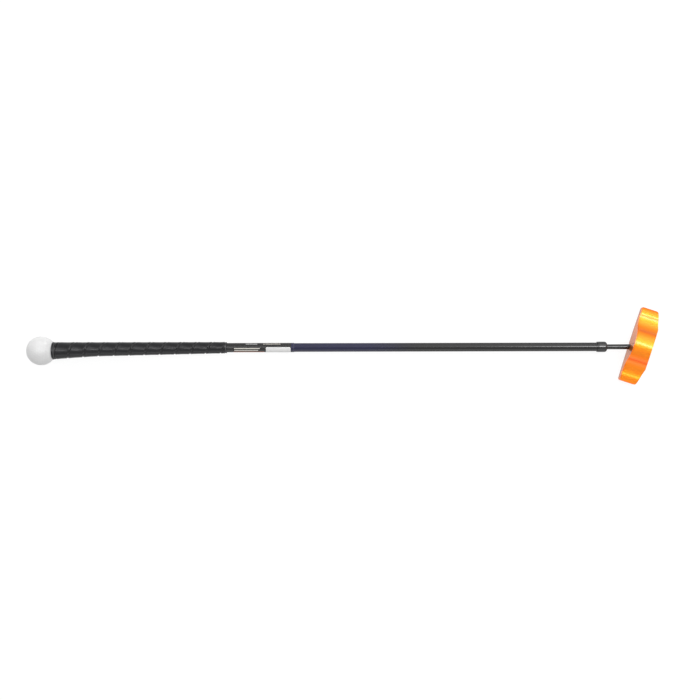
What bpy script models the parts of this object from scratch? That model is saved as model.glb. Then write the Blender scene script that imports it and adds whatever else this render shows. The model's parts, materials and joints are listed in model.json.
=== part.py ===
"""A golf putter with a scalloped aluminium head and a ball held in the cup at its butt.

The club is drawn along +X from the butt end of the grip to the sole, with the toe
towards +Y and the back of the head towards +Z. It then lies down as it would on a
flat surface, on its ball and on its leading edge, with the striking face below.
"""

import math

import bmesh
import bpy
from mathutils import Matrix, Vector

# Clearances between touching pieces
SEAT_GAP = 0.0003
FILM_GAP = 0.00015

# Whole club
CLUB_LENGTH = 0.889
LIE_ANGLE = math.radians(72.0)
LOFT_ANGLE = math.radians(3.0)

# Head: outline seen from above
HEAD_HEIGHT = 0.0324
MUSCLE_DEPTH = 0.0295
MUSCLE_RADIUS = 0.0325
MUSCLE_HALF_WIDTH = 0.0222
SCALLOP_RADIUS = 0.030
SCALLOP_ENTRY_ANGLE = math.radians(50.0)
SCALLOP_EXIT_ANGLE = math.radians(2.0)
END_LOBE_RADIUS = 0.018
END_LOBE_TURN = math.radians(52.0)
TOE_REACH = 0.0580
HEEL_REACH = 0.0566

# Head: sole and edges
SOLE_LAND_DEPTH = 0.012
RELIEF_ANGLE = math.radians(16.0)
RELIEF_BLEND_RADIUS = 0.012
ROCKER_ANGLE = math.radians(12.3)
ROCKER_HALF_FLAT = 0.0293
ROCKER_BLEND_RADIUS = 0.030
CROWN_CAMBER = 0.0008
END_CORNER_RADIUS = 0.003
EDGE_BREAK = 0.0009

# Head: sight line and sole weights
SIGHT_LINE_WIDTH = 0.0012
SIGHT_LINE_DEPTH = 0.0006
WEIGHT_RADIUS = 0.006
WEIGHT_HEIGHT = 0.0213
WEIGHT_RECESS = 0.0005
WEIGHT_SPREAD = 0.022
WEIGHT_SETBACK = 0.0085
WEIGHT_SOCKET_RADIUS = 0.0026
WEIGHT_SOCKET_DEPTH = 0.003

# Stem between the shaft and the head
STEM_RADIUS = 0.0036
STEM_EXPOSED = 0.0340
STEM_SETBACK = 0.008
STEM_HEEL_OFFSET = 0.00515
STEM_IN_HEAD = 0.022
STEM_IN_SHAFT = 0.026
STEM_CHAMFER = 0.0006
STEM_SCREW_RADIUS = 0.0018
STEM_SCREW_GRIP = 0.010
STEM_SCREW_HEAD_RADIUS = 0.0034
STEM_SCREW_HEAD_HEIGHT = 0.003
STEM_SCREW_RECESS = 0.0032
STEM_SCREW_SOCKET_RADIUS = 0.0016
STEM_SCREW_SOCKET_DEPTH = 0.0016

# Collar nut, bush and collet at the shaft's tip
COLLAR_RADIUS = 0.0079
COLLAR_LENGTH = 0.0146
COLLAR_SOCKET = 0.009
COLLAR_GROOVE_START = 0.0007
COLLAR_GROOVE_WIDTH = 0.0011
COLLAR_GROOVE_DEPTH = 0.0004
COLLAR_NOSE_RADIUS = 0.0037
BUSH_LENGTH = 0.036
BUSH_FLANGE_RADIUS = 0.0063
BUSH_FLANGE_THICKNESS = 0.0008
COLLET_LENGTH = 0.0024
COLLET_SMALL_RADIUS = 0.0049

# Shaft and its printed band
SHAFT_BUTT_RADIUS = 0.0066
SHAFT_TIP_RADIUS = 0.0065
SHAFT_WALL = 0.0009
BAND_LENGTH = 0.100
BAND_THICKNESS = 0.00025

# Grip: a rubber underlisting with a tape wound round it
GRIP_LENGTH = 0.255
GRIP_BUTT_RADIUS = 0.0126
GRIP_WAIST_RADIUS = 0.0104
GRIP_TIP_RADIUS = 0.0083
GRIP_WAIST_AT = 0.066
GRIP_FLARE_POWER = 1.2
GRIP_UNDER_SHARE = 0.95
GRIP_TIP_LIP = 0.0015
WRAP_THICKNESS = 0.0006
WRAP_PITCH = 0.0226
WRAP_SEAM_AT = 0.0028
WRAP_SEAM_DROP = 0.0003
WRAP_SEAM_SLOPE = 0.0016
WRAP_LEAST_WIDTH = 0.0012

# Butt cap and the cup that picks up the ball
CAP_RIM_THICKNESS = 0.0023
CAP_BODY_RADIUS = 0.0092
CAP_BODY_END = 0.0175
CAP_DISH_DEPTH = 0.0026
CUP_RIM_RADIUS = 0.0129
CUP_BODY_RADIUS = 0.0065
CUP_BODY_END = 0.0052
CUP_STEM_RADIUS = 0.0026
CUP_STEM_END = 0.016
CUP_RIM_BULGE = 0.0003
CUP_SCREW_RADIUS = 0.0013
CUP_SCREW_HEAD_RADIUS = 0.0026
CUP_SCREW_HEAD_HEIGHT = 0.001
CUP_SCREW_SINK = 0.0006

# Ball
BALL_RADIUS = 0.021335
BALL_COVER_THICKNESS = 0.0019
BALL_SEAT_DEPTH = 0.0019

# Fineness of round and tapered shapes
ROUND_STEPS = 48
SMALL_ROUND_STEPS = 24
BALL_STEPS = 32
WRAP_STEPS = 24
HEXAGON_STEPS = 6
ARC_STEP = math.radians(6.0)
CORNER_STEP = math.radians(15.0)
NOSE_STEP = math.radians(22.5)
BALL_STEP = math.radians(10.0)
CORE_STEP = math.radians(18.0)
TAPER_SPACING = 0.012
DISH_SPACING = 0.002
MERGE = 0.00001

# Angles that tell an edge from a smooth surface
FLAT_ANGLE = math.radians(0.1)
SMOOTH_ANGLE = math.radians(32.0)
WRAP_SMOOTH_ANGLE = math.radians(20.0)
EDGE_BREAK_ANGLE = math.radians(28.0)

# How far a cutter runs on past the surface it opens
CUT_PAST = 0.008

# Sizes that follow from the ones above
LEAN = math.pi / 2 - LIE_ANGLE
CROWN_AT = CLUB_LENGTH - HEAD_HEIGHT / math.cos(LEAN)
COLLAR_END = CROWN_AT - STEM_EXPOSED
COLLAR_START = COLLAR_END - COLLAR_LENGTH
SHAFT_END = COLLAR_START + COLLAR_SOCKET
SHAFT_START = CAP_BODY_END + SEAT_GAP
BALL_AT = BALL_SEAT_DEPTH - BALL_RADIUS
STEM_BORE_RADIUS = STEM_RADIUS + SEAT_GAP

CLUB = bpy.data.collections.new("golf_putter")
CUTTERS = bpy.data.collections.new("cutters")


def clear_scene():
    """Remove the objects of the scene and add the two collections."""
    for old in list(bpy.data.objects):
        bpy.data.objects.remove(old, do_unlink=True)
    for collection in (CLUB, CUTTERS):
        bpy.context.scene.collection.children.link(collection)


def material(name, colour, roughness, metallic):
    """A Principled material in one plain colour."""
    made = bpy.data.materials.new(name)
    made.use_nodes = True
    shader = made.node_tree.nodes["Principled BSDF"]
    shader.inputs["Base Color"].default_value = (*colour, 1.0)
    shader.inputs["Roughness"].default_value = roughness
    shader.inputs["Metallic"].default_value = metallic
    made.diffuse_color = (*colour, 1.0)
    return made


def place(mesh, name, collection=CLUB):
    """Wrap a mesh in an object and link it to a collection."""
    piece = bpy.data.objects.new(name, mesh)
    collection.objects.link(piece)
    return piece


def mesh_from(vertices, faces, name, edges=()):
    """A mesh from plain lists."""
    mesh = bpy.data.meshes.new(name)
    mesh.from_pydata([tuple(vertex) for vertex in vertices], edges, faces)
    mesh.update()
    return mesh


def freeze(piece):
    """Turn an object's modifiers into plain mesh and shade it smooth between its edges."""
    bpy.context.view_layer.update()
    evaluated = piece.evaluated_get(bpy.context.evaluated_depsgraph_get())
    mesh = bpy.data.meshes.new_from_object(evaluated)
    mesh.name = piece.name
    piece.modifiers.clear()
    piece.data = mesh
    mesh.shade_smooth()
    mesh.set_sharp_from_angle(angle=SMOOTH_ANGLE)
    return piece


def turned(name, profile, steps=ROUND_STEPS, collection=CLUB, upright=False):
    """Turn a closed profile round the club's axis, or round a vertical one.

    The profile is a list of (radius, station) points that runs down its outer side.
    Points on the axis may be its first and last, and then it isn't closed.
    """
    count = len(profile)
    edges = [(index, index + 1) for index in range(count - 1)]
    if profile[0][0] > 0 or profile[-1][0] > 0:
        edges.append((count - 1, 0))
    vertices = [(radius, 0.0, station) for radius, station in profile]
    piece = place(mesh_from(vertices, [], name, edges), name, collection)
    screw = piece.modifiers.new("Screw", "SCREW")
    screw.steps = steps
    screw.render_steps = steps
    screw.use_merge_vertices = True
    screw.merge_threshold = MERGE
    screw.use_normal_calculate = False
    freeze(piece)
    if not upright:
        piece.rotation_euler = (0.0, math.pi / 2, 0.0)
    return piece


def arc(centre, radius, start, end, step=ARC_STEP):
    """Points of an arc from one angle to another, both ends included."""
    count = max(2, math.ceil(abs(end - start) / step))
    points = []
    for index in range(count + 1):
        angle = start + (end - start) * index / count
        points.append((centre[0] + radius * math.cos(angle), centre[1] + radius * math.sin(angle)))
    return points


def rounded(corners):
    """A closed outline from (x, y, radius) corners, each rounded by its own radius."""
    outline = []
    count = len(corners)
    for index, (x, y, radius) in enumerate(corners):
        here = Vector((x, y))
        if radius == 0:
            outline.append((x, y))
            continue
        before = (Vector(corners[index - 1][:2]) - here).normalized()
        after = (Vector(corners[(index + 1) % count][:2]) - here).normalized()
        half = before.angle(after) / 2
        middle = here + (before + after).normalized() * radius / math.sin(half)
        first = here + before * radius / math.tan(half) - middle
        last = here + after * radius / math.tan(half) - middle
        start = math.atan2(first.y, first.x)
        turn = math.atan2(last.y, last.x) - start
        turn = (turn + math.pi) % (2 * math.pi) - math.pi
        outline.extend(arc(middle, radius, start, start + turn, CORNER_STEP))
    return outline


def prism(name, outline, low, high, frame, collection=CUTTERS):
    """Extrude a flat outline from one height to another, in the axes of a frame."""
    curve = bpy.data.curves.new(name, "CURVE")
    curve.dimensions = "2D"
    curve.fill_mode = "BOTH"
    curve.extrude = (high - low) / 2
    spline = curve.splines.new("POLY")
    spline.points.add(len(outline) - 1)
    for point, (x, y) in zip(spline.points, outline):
        point.co = (x, y, 0.0, 1.0)
    spline.use_cyclic_u = True
    drawn = bpy.data.objects.new(name + "_outline", curve)
    collection.objects.link(drawn)
    bpy.context.view_layer.update()
    evaluated = drawn.evaluated_get(bpy.context.evaluated_depsgraph_get())
    mesh = bpy.data.meshes.new_from_object(evaluated)
    bpy.data.objects.remove(drawn, do_unlink=True)
    work = bmesh.new()
    work.from_mesh(mesh)
    bmesh.ops.remove_doubles(work, verts=work.verts, dist=MERGE)
    bmesh.ops.dissolve_limit(work, angle_limit=FLAT_ANGLE, verts=work.verts, edges=work.edges)
    bmesh.ops.recalc_face_normals(work, faces=work.faces)
    work.to_mesh(mesh)
    work.free()
    piece = place(mesh, name, collection)
    piece.matrix_world = frame @ Matrix.Translation((0.0, 0.0, (low + high) / 2))
    return piece


def cylinder(name, radius, low, high, frame, steps=SMALL_ROUND_STEPS, collection=CUTTERS):
    """A cylinder along the z axis of a frame, from one height to another."""
    work = bmesh.new()
    bmesh.ops.create_cone(
        work, cap_ends=True, segments=steps, radius1=radius, radius2=radius, depth=high - low
    )
    mesh = bpy.data.meshes.new(name)
    work.to_mesh(mesh)
    work.free()
    piece = place(mesh, name, collection)
    piece.matrix_world = frame @ Matrix.Translation((0.0, 0.0, (low + high) / 2))
    return piece


def combine(piece, tool, operation):
    """Add a Boolean modifier that cuts a piece by a tool, or keeps what both share."""
    tool.hide_render = True
    tool.display_type = "WIRE"
    boolean = piece.modifiers.new(operation.title() + " " + tool.name, "BOOLEAN")
    boolean.operation = operation
    boolean.object = tool
    boolean.solver = "EXACT"


def paint(piece, finish):
    """Give a piece its material."""
    piece.data.materials.clear()
    piece.data.materials.append(finish)
    return piece


def shaft_radius(station):
    """Outer radius of the tapered shaft at a distance from the butt."""
    share = station / SHAFT_END
    return SHAFT_BUTT_RADIUS + (SHAFT_TIP_RADIUS - SHAFT_BUTT_RADIUS) * share


def grip_radius(station):
    """Outer radius of the grip: a slow taper that flares towards the butt."""
    slope = (GRIP_WAIST_RADIUS - GRIP_TIP_RADIUS) / (GRIP_LENGTH - GRIP_WAIST_AT)
    straight = GRIP_TIP_RADIUS + slope * (GRIP_LENGTH - station)
    if station >= GRIP_WAIST_AT:
        return straight
    flare = GRIP_BUTT_RADIUS - (GRIP_TIP_RADIUS + slope * GRIP_LENGTH)
    return straight + flare * (1 - station / GRIP_WAIST_AT) ** GRIP_FLARE_POWER


def grip_drop(station):
    """How far the grip's middle lies below the shaft's axis: its flare is on the underside."""
    return GRIP_UNDER_SHARE * (grip_radius(station) - GRIP_TIP_RADIUS)


def butt_axes():
    """Frame of the butt cap and the cup: z along the club, origin at the butt."""
    return Matrix.Translation((0.0, -grip_drop(0.0), 0.0)) @ club_axes()


def on_butt(piece):
    """Move a turned piece from the shaft's axis to the axis of the butt."""
    piece.location.y -= grip_drop(0.0)
    return piece


def stations(first, last, spacing):
    """Evenly spaced stations from first to last, both included."""
    count = max(1, round(abs(last - first) / spacing))
    return [first + (last - first) * index / count for index in range(count + 1)]


def ball_surface(radius, clearance):
    """Station of the ball's surface, plus a clearance, at a distance from the club's axis."""
    reach = BALL_RADIUS + clearance
    return BALL_AT + math.sqrt(reach ** 2 - radius ** 2)


def plan_half(side):
    """Back outline of half the head, from its middle to one end, as (along, depth) points."""
    points = []
    muscle_turn = math.asin(MUSCLE_HALF_WIDTH / MUSCLE_RADIUS)
    muscle_centre = MUSCLE_DEPTH - MUSCLE_RADIUS
    crease_depth = muscle_centre + MUSCLE_RADIUS * math.cos(muscle_turn)
    half_turn = math.pi / 2
    points += arc((0.0, muscle_centre), MUSCLE_RADIUS, half_turn, half_turn - muscle_turn)
    scallop_along = MUSCLE_HALF_WIDTH + SCALLOP_RADIUS * math.sin(SCALLOP_ENTRY_ANGLE)
    scallop_depth = crease_depth + SCALLOP_RADIUS * math.cos(SCALLOP_ENTRY_ANGLE)
    start = -half_turn - SCALLOP_ENTRY_ANGLE
    end = -half_turn + SCALLOP_EXIT_ANGLE
    points += arc((scallop_along, scallop_depth), SCALLOP_RADIUS, start, end)[1:]
    last_along, last_depth = points[-1]
    end_centre = (last_along, last_depth - END_LOBE_RADIUS)
    points += arc(end_centre, END_LOBE_RADIUS, half_turn, half_turn - END_LOBE_TURN)[1:]
    return [(side * along, depth) for along, depth in points]


def head_axes():
    """Frame at the middle of the sole under the face: x to the toe, y up, z to the back."""
    rotation = Matrix.Rotation(LIE_ANGLE, 4, "Z")
    on_axis = Matrix.Translation((CROWN_AT, 0.0, 0.0))
    back = Matrix.Translation((STEM_HEEL_OFFSET, -HEAD_HEIGHT, -STEM_SETBACK))
    return on_axis @ rotation @ back


def plan_axes():
    """Frame of the head's outline from above: x to the heel, y to the back, z up."""
    turn = Matrix(((-1, 0, 0, 0), (0, 0, 1, 0), (0, 1, 0, 0), (0, 0, 0, 1)))
    return head_axes() @ turn


def side_axes():
    """Frame of the head's outline from its end: x to the back, y up, z to the heel."""
    return head_axes() @ Matrix.Rotation(-math.pi / 2, 4, "Y")


def weight_axes(side):
    """Upright frame at the middle of a sole weight, on the toe's side for 1."""
    return plan_axes() @ Matrix.Translation((-side * WEIGHT_SPREAD, WEIGHT_SETBACK, 0.0))


def club_axes():
    """Frame whose z axis is the club's axis, with its origin at the butt."""
    return Matrix.Rotation(math.pi / 2, 4, "Y")


def make_head(finish):
    """Head body: the solid that three extruded outlines share, less its holes."""
    margin = END_CORNER_RADIUS
    front = -HEAD_HEIGHT * math.tan(LOFT_ANGLE) - margin
    plan = plan_half(-1)[::-1] + plan_half(1)[1:]
    plan = [(plan[0][0], front)] + plan + [(plan[-1][0], front)]
    head = prism("head_body", plan, -margin, HEAD_HEIGHT + margin, plan_axes(), CLUB)
    reach = 2 * TOE_REACH
    combine(head, prism("head_front_view", head_elevation(), -reach, reach, head_axes()), "INTERSECT")
    combine(head, prism("head_side_view", head_side(), -reach, reach, side_axes()), "INTERSECT")

    bevel = head.modifiers.new("Edge break", "BEVEL")
    bevel.width = EDGE_BREAK
    bevel.segments = 2
    bevel.limit_method = "ANGLE"
    bevel.angle_limit = EDGE_BREAK_ANGLE

    for tool in head_tools():
        combine(head, tool, "DIFFERENCE")
    return paint(head, finish)


def head_elevation():
    """Outline of the head from the back: a cambered crown over a sole that rises at its ends."""
    corner = END_CORNER_RADIUS
    slope = math.tan(ROCKER_ANGLE)
    toe_rise = (TOE_REACH - ROCKER_HALF_FLAT) * slope
    heel_rise = (HEEL_REACH - ROCKER_HALF_FLAT) * slope
    sole = [
        (-HEEL_REACH, heel_rise, corner),
        (-ROCKER_HALF_FLAT, 0.0, ROCKER_BLEND_RADIUS),
        (ROCKER_HALF_FLAT, 0.0, ROCKER_BLEND_RADIUS),
        (TOE_REACH, toe_rise, corner),
    ]
    crown = []
    for along in stations(TOE_REACH, -HEEL_REACH, TAPER_SPACING):
        drop = CROWN_CAMBER * (along / TOE_REACH) ** 2
        crown.append((along, HEAD_HEIGHT - drop, 0.0))
    crown[0] = (*crown[0][:2], corner)
    crown[-1] = (*crown[-1][:2], corner)
    return rounded(sole + crown)


def head_side():
    """Outline of the head seen from the toe, as (depth, up) points: face, sole and relief."""
    above = HEAD_HEIGHT + END_CORNER_RADIUS
    beyond = MUSCLE_DEPTH + 2 * END_CORNER_RADIUS
    lift = math.tan(LOFT_ANGLE)
    relief_rise = (beyond - SOLE_LAND_DEPTH) * math.tan(RELIEF_ANGLE)
    corners = [
        ((above - HEAD_HEIGHT) * lift, above, 0.0),
        (-HEAD_HEIGHT * lift, 0.0, 0.0),
        (SOLE_LAND_DEPTH, 0.0, RELIEF_BLEND_RADIUS),
        (beyond, relief_rise, 0.0),
        (beyond, above, 0.0),
    ]
    return rounded(corners)


def head_tools():
    """Cutters for the stem's hole, its screw, the weights and the sight line."""
    stem_end = CROWN_AT + STEM_IN_HEAD + SEAT_GAP
    seat = stem_screw_seat()
    beyond = CLUB_LENGTH + CUT_PAST
    along_club = [
        ("stem_hole", STEM_BORE_RADIUS, CROWN_AT - STEM_EXPOSED / 2, stem_end),
        ("stem_screw_hole", STEM_SCREW_RADIUS + SEAT_GAP, stem_end - SEAT_GAP, seat + SEAT_GAP),
        ("stem_screw_pocket", STEM_SCREW_HEAD_RADIUS + SEAT_GAP, seat, beyond),
    ]
    tools = []
    for name, radius, start, end in along_club:
        tools.append(cylinder(name, radius, start, end, club_axes()))
    for name, side in (("toe_weight_hole", 1), ("heel_weight_hole", -1)):
        top = WEIGHT_RECESS + WEIGHT_HEIGHT + SEAT_GAP
        radius = WEIGHT_RADIUS + SEAT_GAP
        tools.append(cylinder(name, radius, -CUT_PAST, top, weight_axes(side)))
    half = SIGHT_LINE_WIDTH / 2
    low = HEAD_HEIGHT - SIGHT_LINE_DEPTH
    high = HEAD_HEIGHT + SIGHT_LINE_DEPTH
    line = [(-half, low), (half, low), (half, high), (-half, high)]
    tools.append(prism("sight_line_cut", line, -MUSCLE_DEPTH, 2 * MUSCLE_DEPTH, head_axes()))
    return tools


def stem_screw_seat():
    """Station of the floor that the stem screw's head is pulled down on."""
    return CLUB_LENGTH - STEM_SCREW_RECESS - STEM_SCREW_HEAD_HEIGHT - SEAT_GAP


def make_weight(name, side, finish):
    """Sole weight: a turned plug with a hexagon socket in its outer face."""
    low = WEIGHT_RECESS
    high = WEIGHT_RECESS + WEIGHT_HEIGHT
    chamfer = EDGE_BREAK / 2
    profile = [
        (0.0, high),
        (WEIGHT_RADIUS - chamfer, high),
        (WEIGHT_RADIUS, high - chamfer),
        (WEIGHT_RADIUS, low + chamfer),
        (WEIGHT_RADIUS - chamfer, low),
        (0.0, low),
    ]
    plug = turned(name, profile, SMALL_ROUND_STEPS, upright=True)
    plug.matrix_world = weight_axes(side)
    depth = low + WEIGHT_SOCKET_DEPTH
    socket = cylinder(
        name + "_socket", WEIGHT_SOCKET_RADIUS, -low, depth, weight_axes(side), HEXAGON_STEPS
    )
    combine(plug, socket, "DIFFERENCE")
    return paint(plug, finish)


def make_stem(finish):
    """Stem: a thin rod from inside the shaft's tip to deep in the head, drilled for its screw."""
    start = SHAFT_END - STEM_IN_SHAFT
    end = CROWN_AT + STEM_IN_HEAD
    drilled = STEM_SCREW_RADIUS + SEAT_GAP
    depth = end - STEM_SCREW_GRIP - SEAT_GAP
    profile = [
        (0.0, depth),
        (drilled, depth),
        (drilled, end),
        (STEM_RADIUS - STEM_CHAMFER, end),
        (STEM_RADIUS, end - STEM_CHAMFER),
        (STEM_RADIUS, start + STEM_CHAMFER),
        (STEM_RADIUS - STEM_CHAMFER, start),
        (0.0, start),
    ]
    return paint(turned("hosel_stem", profile, SMALL_ROUND_STEPS), finish)


def make_stem_screw(finish):
    """Cap screw that draws the stem into the head from the sole."""
    seat = stem_screw_seat() + SEAT_GAP
    top = seat + STEM_SCREW_HEAD_HEIGHT
    tip = CROWN_AT + STEM_IN_HEAD - STEM_SCREW_GRIP
    profile = [
        (0.0, top),
        (STEM_SCREW_HEAD_RADIUS, top),
        (STEM_SCREW_HEAD_RADIUS, seat),
        (STEM_SCREW_RADIUS, seat),
        (STEM_SCREW_RADIUS, tip + STEM_CHAMFER),
        (STEM_SCREW_RADIUS - STEM_CHAMFER, tip),
        (0.0, tip),
    ]
    screw = turned("stem_screw", profile, SMALL_ROUND_STEPS)
    socket = cylinder(
        "stem_screw_socket",
        STEM_SCREW_SOCKET_RADIUS,
        top - STEM_SCREW_SOCKET_DEPTH,
        top + STEM_SCREW_SOCKET_DEPTH,
        club_axes(),
        HEXAGON_STEPS,
    )
    combine(screw, socket, "DIFFERENCE")
    return paint(screw, finish)


def collar_cone():
    """Stations where the collar's inner cone starts and ends."""
    start = SHAFT_END + SEAT_GAP + BUSH_FLANGE_THICKNESS + SEAT_GAP
    return start, start + COLLET_LENGTH + SEAT_GAP


def make_collar(finish):
    """Collar nut: a socket for the shaft's tip, a groove at its lip and a rounded nose."""
    socket = SHAFT_TIP_RADIUS + SEAT_GAP
    cone_start, cone_end = collar_cone()
    groove = COLLAR_RADIUS - COLLAR_GROOVE_DEPTH
    groove_start = COLLAR_START + COLLAR_GROOVE_START
    groove_end = groove_start + COLLAR_GROOVE_WIDTH
    nose = COLLAR_NOSE_RADIUS
    nose_centre = (COLLAR_RADIUS - nose, COLLAR_END - nose)
    profile = [(STEM_BORE_RADIUS, COLLAR_END)]
    profile += arc(nose_centre, nose, math.pi / 2, 0.0, NOSE_STEP)
    profile += [
        (COLLAR_RADIUS, groove_end),
        (groove, groove_end),
        (groove, groove_start),
        (COLLAR_RADIUS, groove_start),
        (COLLAR_RADIUS - COLLAR_GROOVE_DEPTH / 2, COLLAR_START),
        (socket, COLLAR_START),
        (socket, cone_start),
        (COLLET_SMALL_RADIUS + SEAT_GAP, cone_end),
        (STEM_BORE_RADIUS, cone_end),
    ]
    return paint(turned("shaft_collar", profile), finish)


def make_tip_bush(finish):
    """Bush bonded in the shaft's tip, with a flange over the tube's end."""
    outer = SHAFT_TIP_RADIUS - SHAFT_WALL - SEAT_GAP
    flange_start = SHAFT_END + SEAT_GAP
    flange_end = flange_start + BUSH_FLANGE_THICKNESS
    start = SHAFT_END - BUSH_LENGTH
    profile = [
        (STEM_BORE_RADIUS, flange_end),
        (BUSH_FLANGE_RADIUS, flange_end),
        (BUSH_FLANGE_RADIUS, flange_start),
        (outer, flange_start),
        (outer, start),
        (STEM_BORE_RADIUS, start),
    ]
    return paint(turned("tip_bush", profile, SMALL_ROUND_STEPS * 2), finish)


def make_collet(finish):
    """Tapered ring that the collar's cone squeezes on the stem."""
    cone_start, cone_end = collar_cone()
    end = cone_end - SEAT_GAP
    profile = [
        (STEM_BORE_RADIUS, end),
        (COLLET_SMALL_RADIUS, end),
        (BUSH_FLANGE_RADIUS, cone_start),
        (STEM_BORE_RADIUS, cone_start),
    ]
    return paint(turned("stem_collet", profile), finish)


def make_shaft(finish):
    """Shaft: a tapered tube open at both ends."""
    profile = [
        (shaft_radius(SHAFT_END), SHAFT_END),
        (shaft_radius(SHAFT_START), SHAFT_START),
        (shaft_radius(SHAFT_START) - SHAFT_WALL, SHAFT_START),
        (shaft_radius(SHAFT_END) - SHAFT_WALL, SHAFT_END),
    ]
    return paint(turned("shaft_tube", profile), finish)


def make_band(finish):
    """Printed film sleeve on the shaft below the grip."""
    start = GRIP_LENGTH + SEAT_GAP
    end = GRIP_LENGTH + BAND_LENGTH
    outer = FILM_GAP + BAND_THICKNESS
    profile = [
        (shaft_radius(end) + outer, end),
        (shaft_radius(start) + outer, start),
        (shaft_radius(start) + FILM_GAP, start),
        (shaft_radius(end) + FILM_GAP, end),
    ]
    return paint(turned("shaft_band", profile), finish)


def wrap_limits():
    """Stations between which the grip tape is wound."""
    return CAP_RIM_THICKNESS + 2 * SEAT_GAP, GRIP_LENGTH - GRIP_TIP_LIP - SEAT_GAP


def make_underlisting(finish):
    """Rubber sleeve under the tape, bored for the shaft and recessed for the butt cap."""
    start = CAP_RIM_THICKNESS + SEAT_GAP
    lip = GRIP_LENGTH - GRIP_TIP_LIP
    under = WRAP_THICKNESS + SEAT_GAP
    profile = [(0.0, GRIP_LENGTH), (GRIP_TIP_RADIUS, GRIP_LENGTH), (GRIP_TIP_RADIUS, lip)]
    for station in stations(lip, start, TAPER_SPACING):
        profile.append((grip_radius(station) - under, station))
    profile.append((0.0, start))
    sleeve = turned("grip_underlisting", profile)
    for vertex in sleeve.data.vertices:
        vertex.co.y -= grip_drop(vertex.co.z)

    beyond = GRIP_LENGTH + GRIP_TIP_LIP
    bore = [
        (0.0, beyond),
        (shaft_radius(beyond) + SEAT_GAP, beyond),
        (shaft_radius(CAP_BODY_END) + SEAT_GAP, CAP_BODY_END),
        (0.0, CAP_BODY_END),
    ]
    # Both cutters are turned by half a step, so that no edge of theirs lies along one of the sleeve's
    half_step = Matrix.Rotation(math.pi / ROUND_STEPS, 4, "Z")
    bore_cutter = turned("shaft_bore", bore, collection=CUTTERS)
    bore_cutter.matrix_world = club_axes() @ half_step
    combine(sleeve, bore_cutter, "DIFFERENCE")
    recess_end = CAP_BODY_END + SEAT_GAP
    recess_axes = butt_axes() @ half_step
    recess = cylinder(
        "cap_recess", CAP_BODY_RADIUS + SEAT_GAP, -start, recess_end, recess_axes, ROUND_STEPS
    )
    combine(sleeve, recess, "DIFFERENCE")
    return paint(sleeve, finish)


def wrap_section(seam, low, high):
    """Section of the wound tape whose leading seam is at a station, as (station, radius)."""
    start = max(seam, low)
    end = min(seam + WRAP_PITCH - SEAT_GAP, high)
    third = (end - start) / 3
    slope = min(WRAP_SEAM_SLOPE, third)
    corners = [
        (start, WRAP_THICKNESS),
        (start, WRAP_SEAM_DROP),
        (start + slope, 0.0),
        (end - slope, 0.0),
        (end, WRAP_SEAM_DROP),
        (end, WRAP_THICKNESS),
    ]
    return [(station, grip_radius(station) - sunk) for station, sunk in corners]


def make_wrap(finish):
    """Grip tape: one flat strip wound round the grip, trimmed square at both ends."""
    low, high = wrap_limits()
    first_seam = low + WRAP_LEAST_WIDTH - (WRAP_PITCH - SEAT_GAP)
    last_seam = high - WRAP_LEAST_WIDTH
    first = math.ceil((first_seam - WRAP_SEAM_AT) / WRAP_PITCH * WRAP_STEPS)
    last = math.floor((last_seam - WRAP_SEAM_AT) / WRAP_PITCH * WRAP_STEPS)
    vertices = []
    for index in range(first, last + 1):
        angle = index * 2 * math.pi / WRAP_STEPS
        seam = WRAP_SEAM_AT + WRAP_PITCH * index / WRAP_STEPS
        for station, radius in wrap_section(seam, low, high):
            across = radius * math.sin(angle) - grip_drop(station)
            vertices.append((station, across, radius * math.cos(angle)))
    size = len(wrap_section(first_seam, low, high))
    rows = last - first + 1
    faces = [tuple(range(size)), tuple(reversed(range((rows - 1) * size, rows * size)))]
    for row in range(rows - 1):
        for corner in range(size):
            here = row * size + corner
            beside = row * size + (corner + 1) % size
            faces.append((beside, here, here + size, beside + size))
    wrap = place(mesh_from(vertices, faces, "grip_wrap"), "grip_wrap")
    work = bmesh.new()
    work.from_mesh(wrap.data)
    bmesh.ops.recalc_face_normals(work, faces=work.faces)
    work.to_mesh(wrap.data)
    work.free()
    wrap.data.shade_smooth()
    wrap.data.set_sharp_from_angle(angle=WRAP_SMOOTH_ANGLE)
    return paint(wrap, finish)


def make_butt_cap(finish):
    """Butt cap: a dished rim and a body in the underlisting, with a hole for the cup's stem."""
    recess = CUP_BODY_RADIUS + SEAT_GAP
    floor = CUP_BODY_END + SEAT_GAP
    hole = CUP_STEM_RADIUS + SEAT_GAP
    profile = [
        (hole, CAP_BODY_END),
        (CAP_BODY_RADIUS, CAP_BODY_END),
        (CAP_BODY_RADIUS, CAP_RIM_THICKNESS),
        (GRIP_BUTT_RADIUS, CAP_RIM_THICKNESS),
        (GRIP_BUTT_RADIUS, 0.0),
        (recess, CAP_DISH_DEPTH),
        (recess, floor),
        (hole, floor),
    ]
    return paint(on_butt(turned("butt_cap", profile)), finish)


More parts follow.
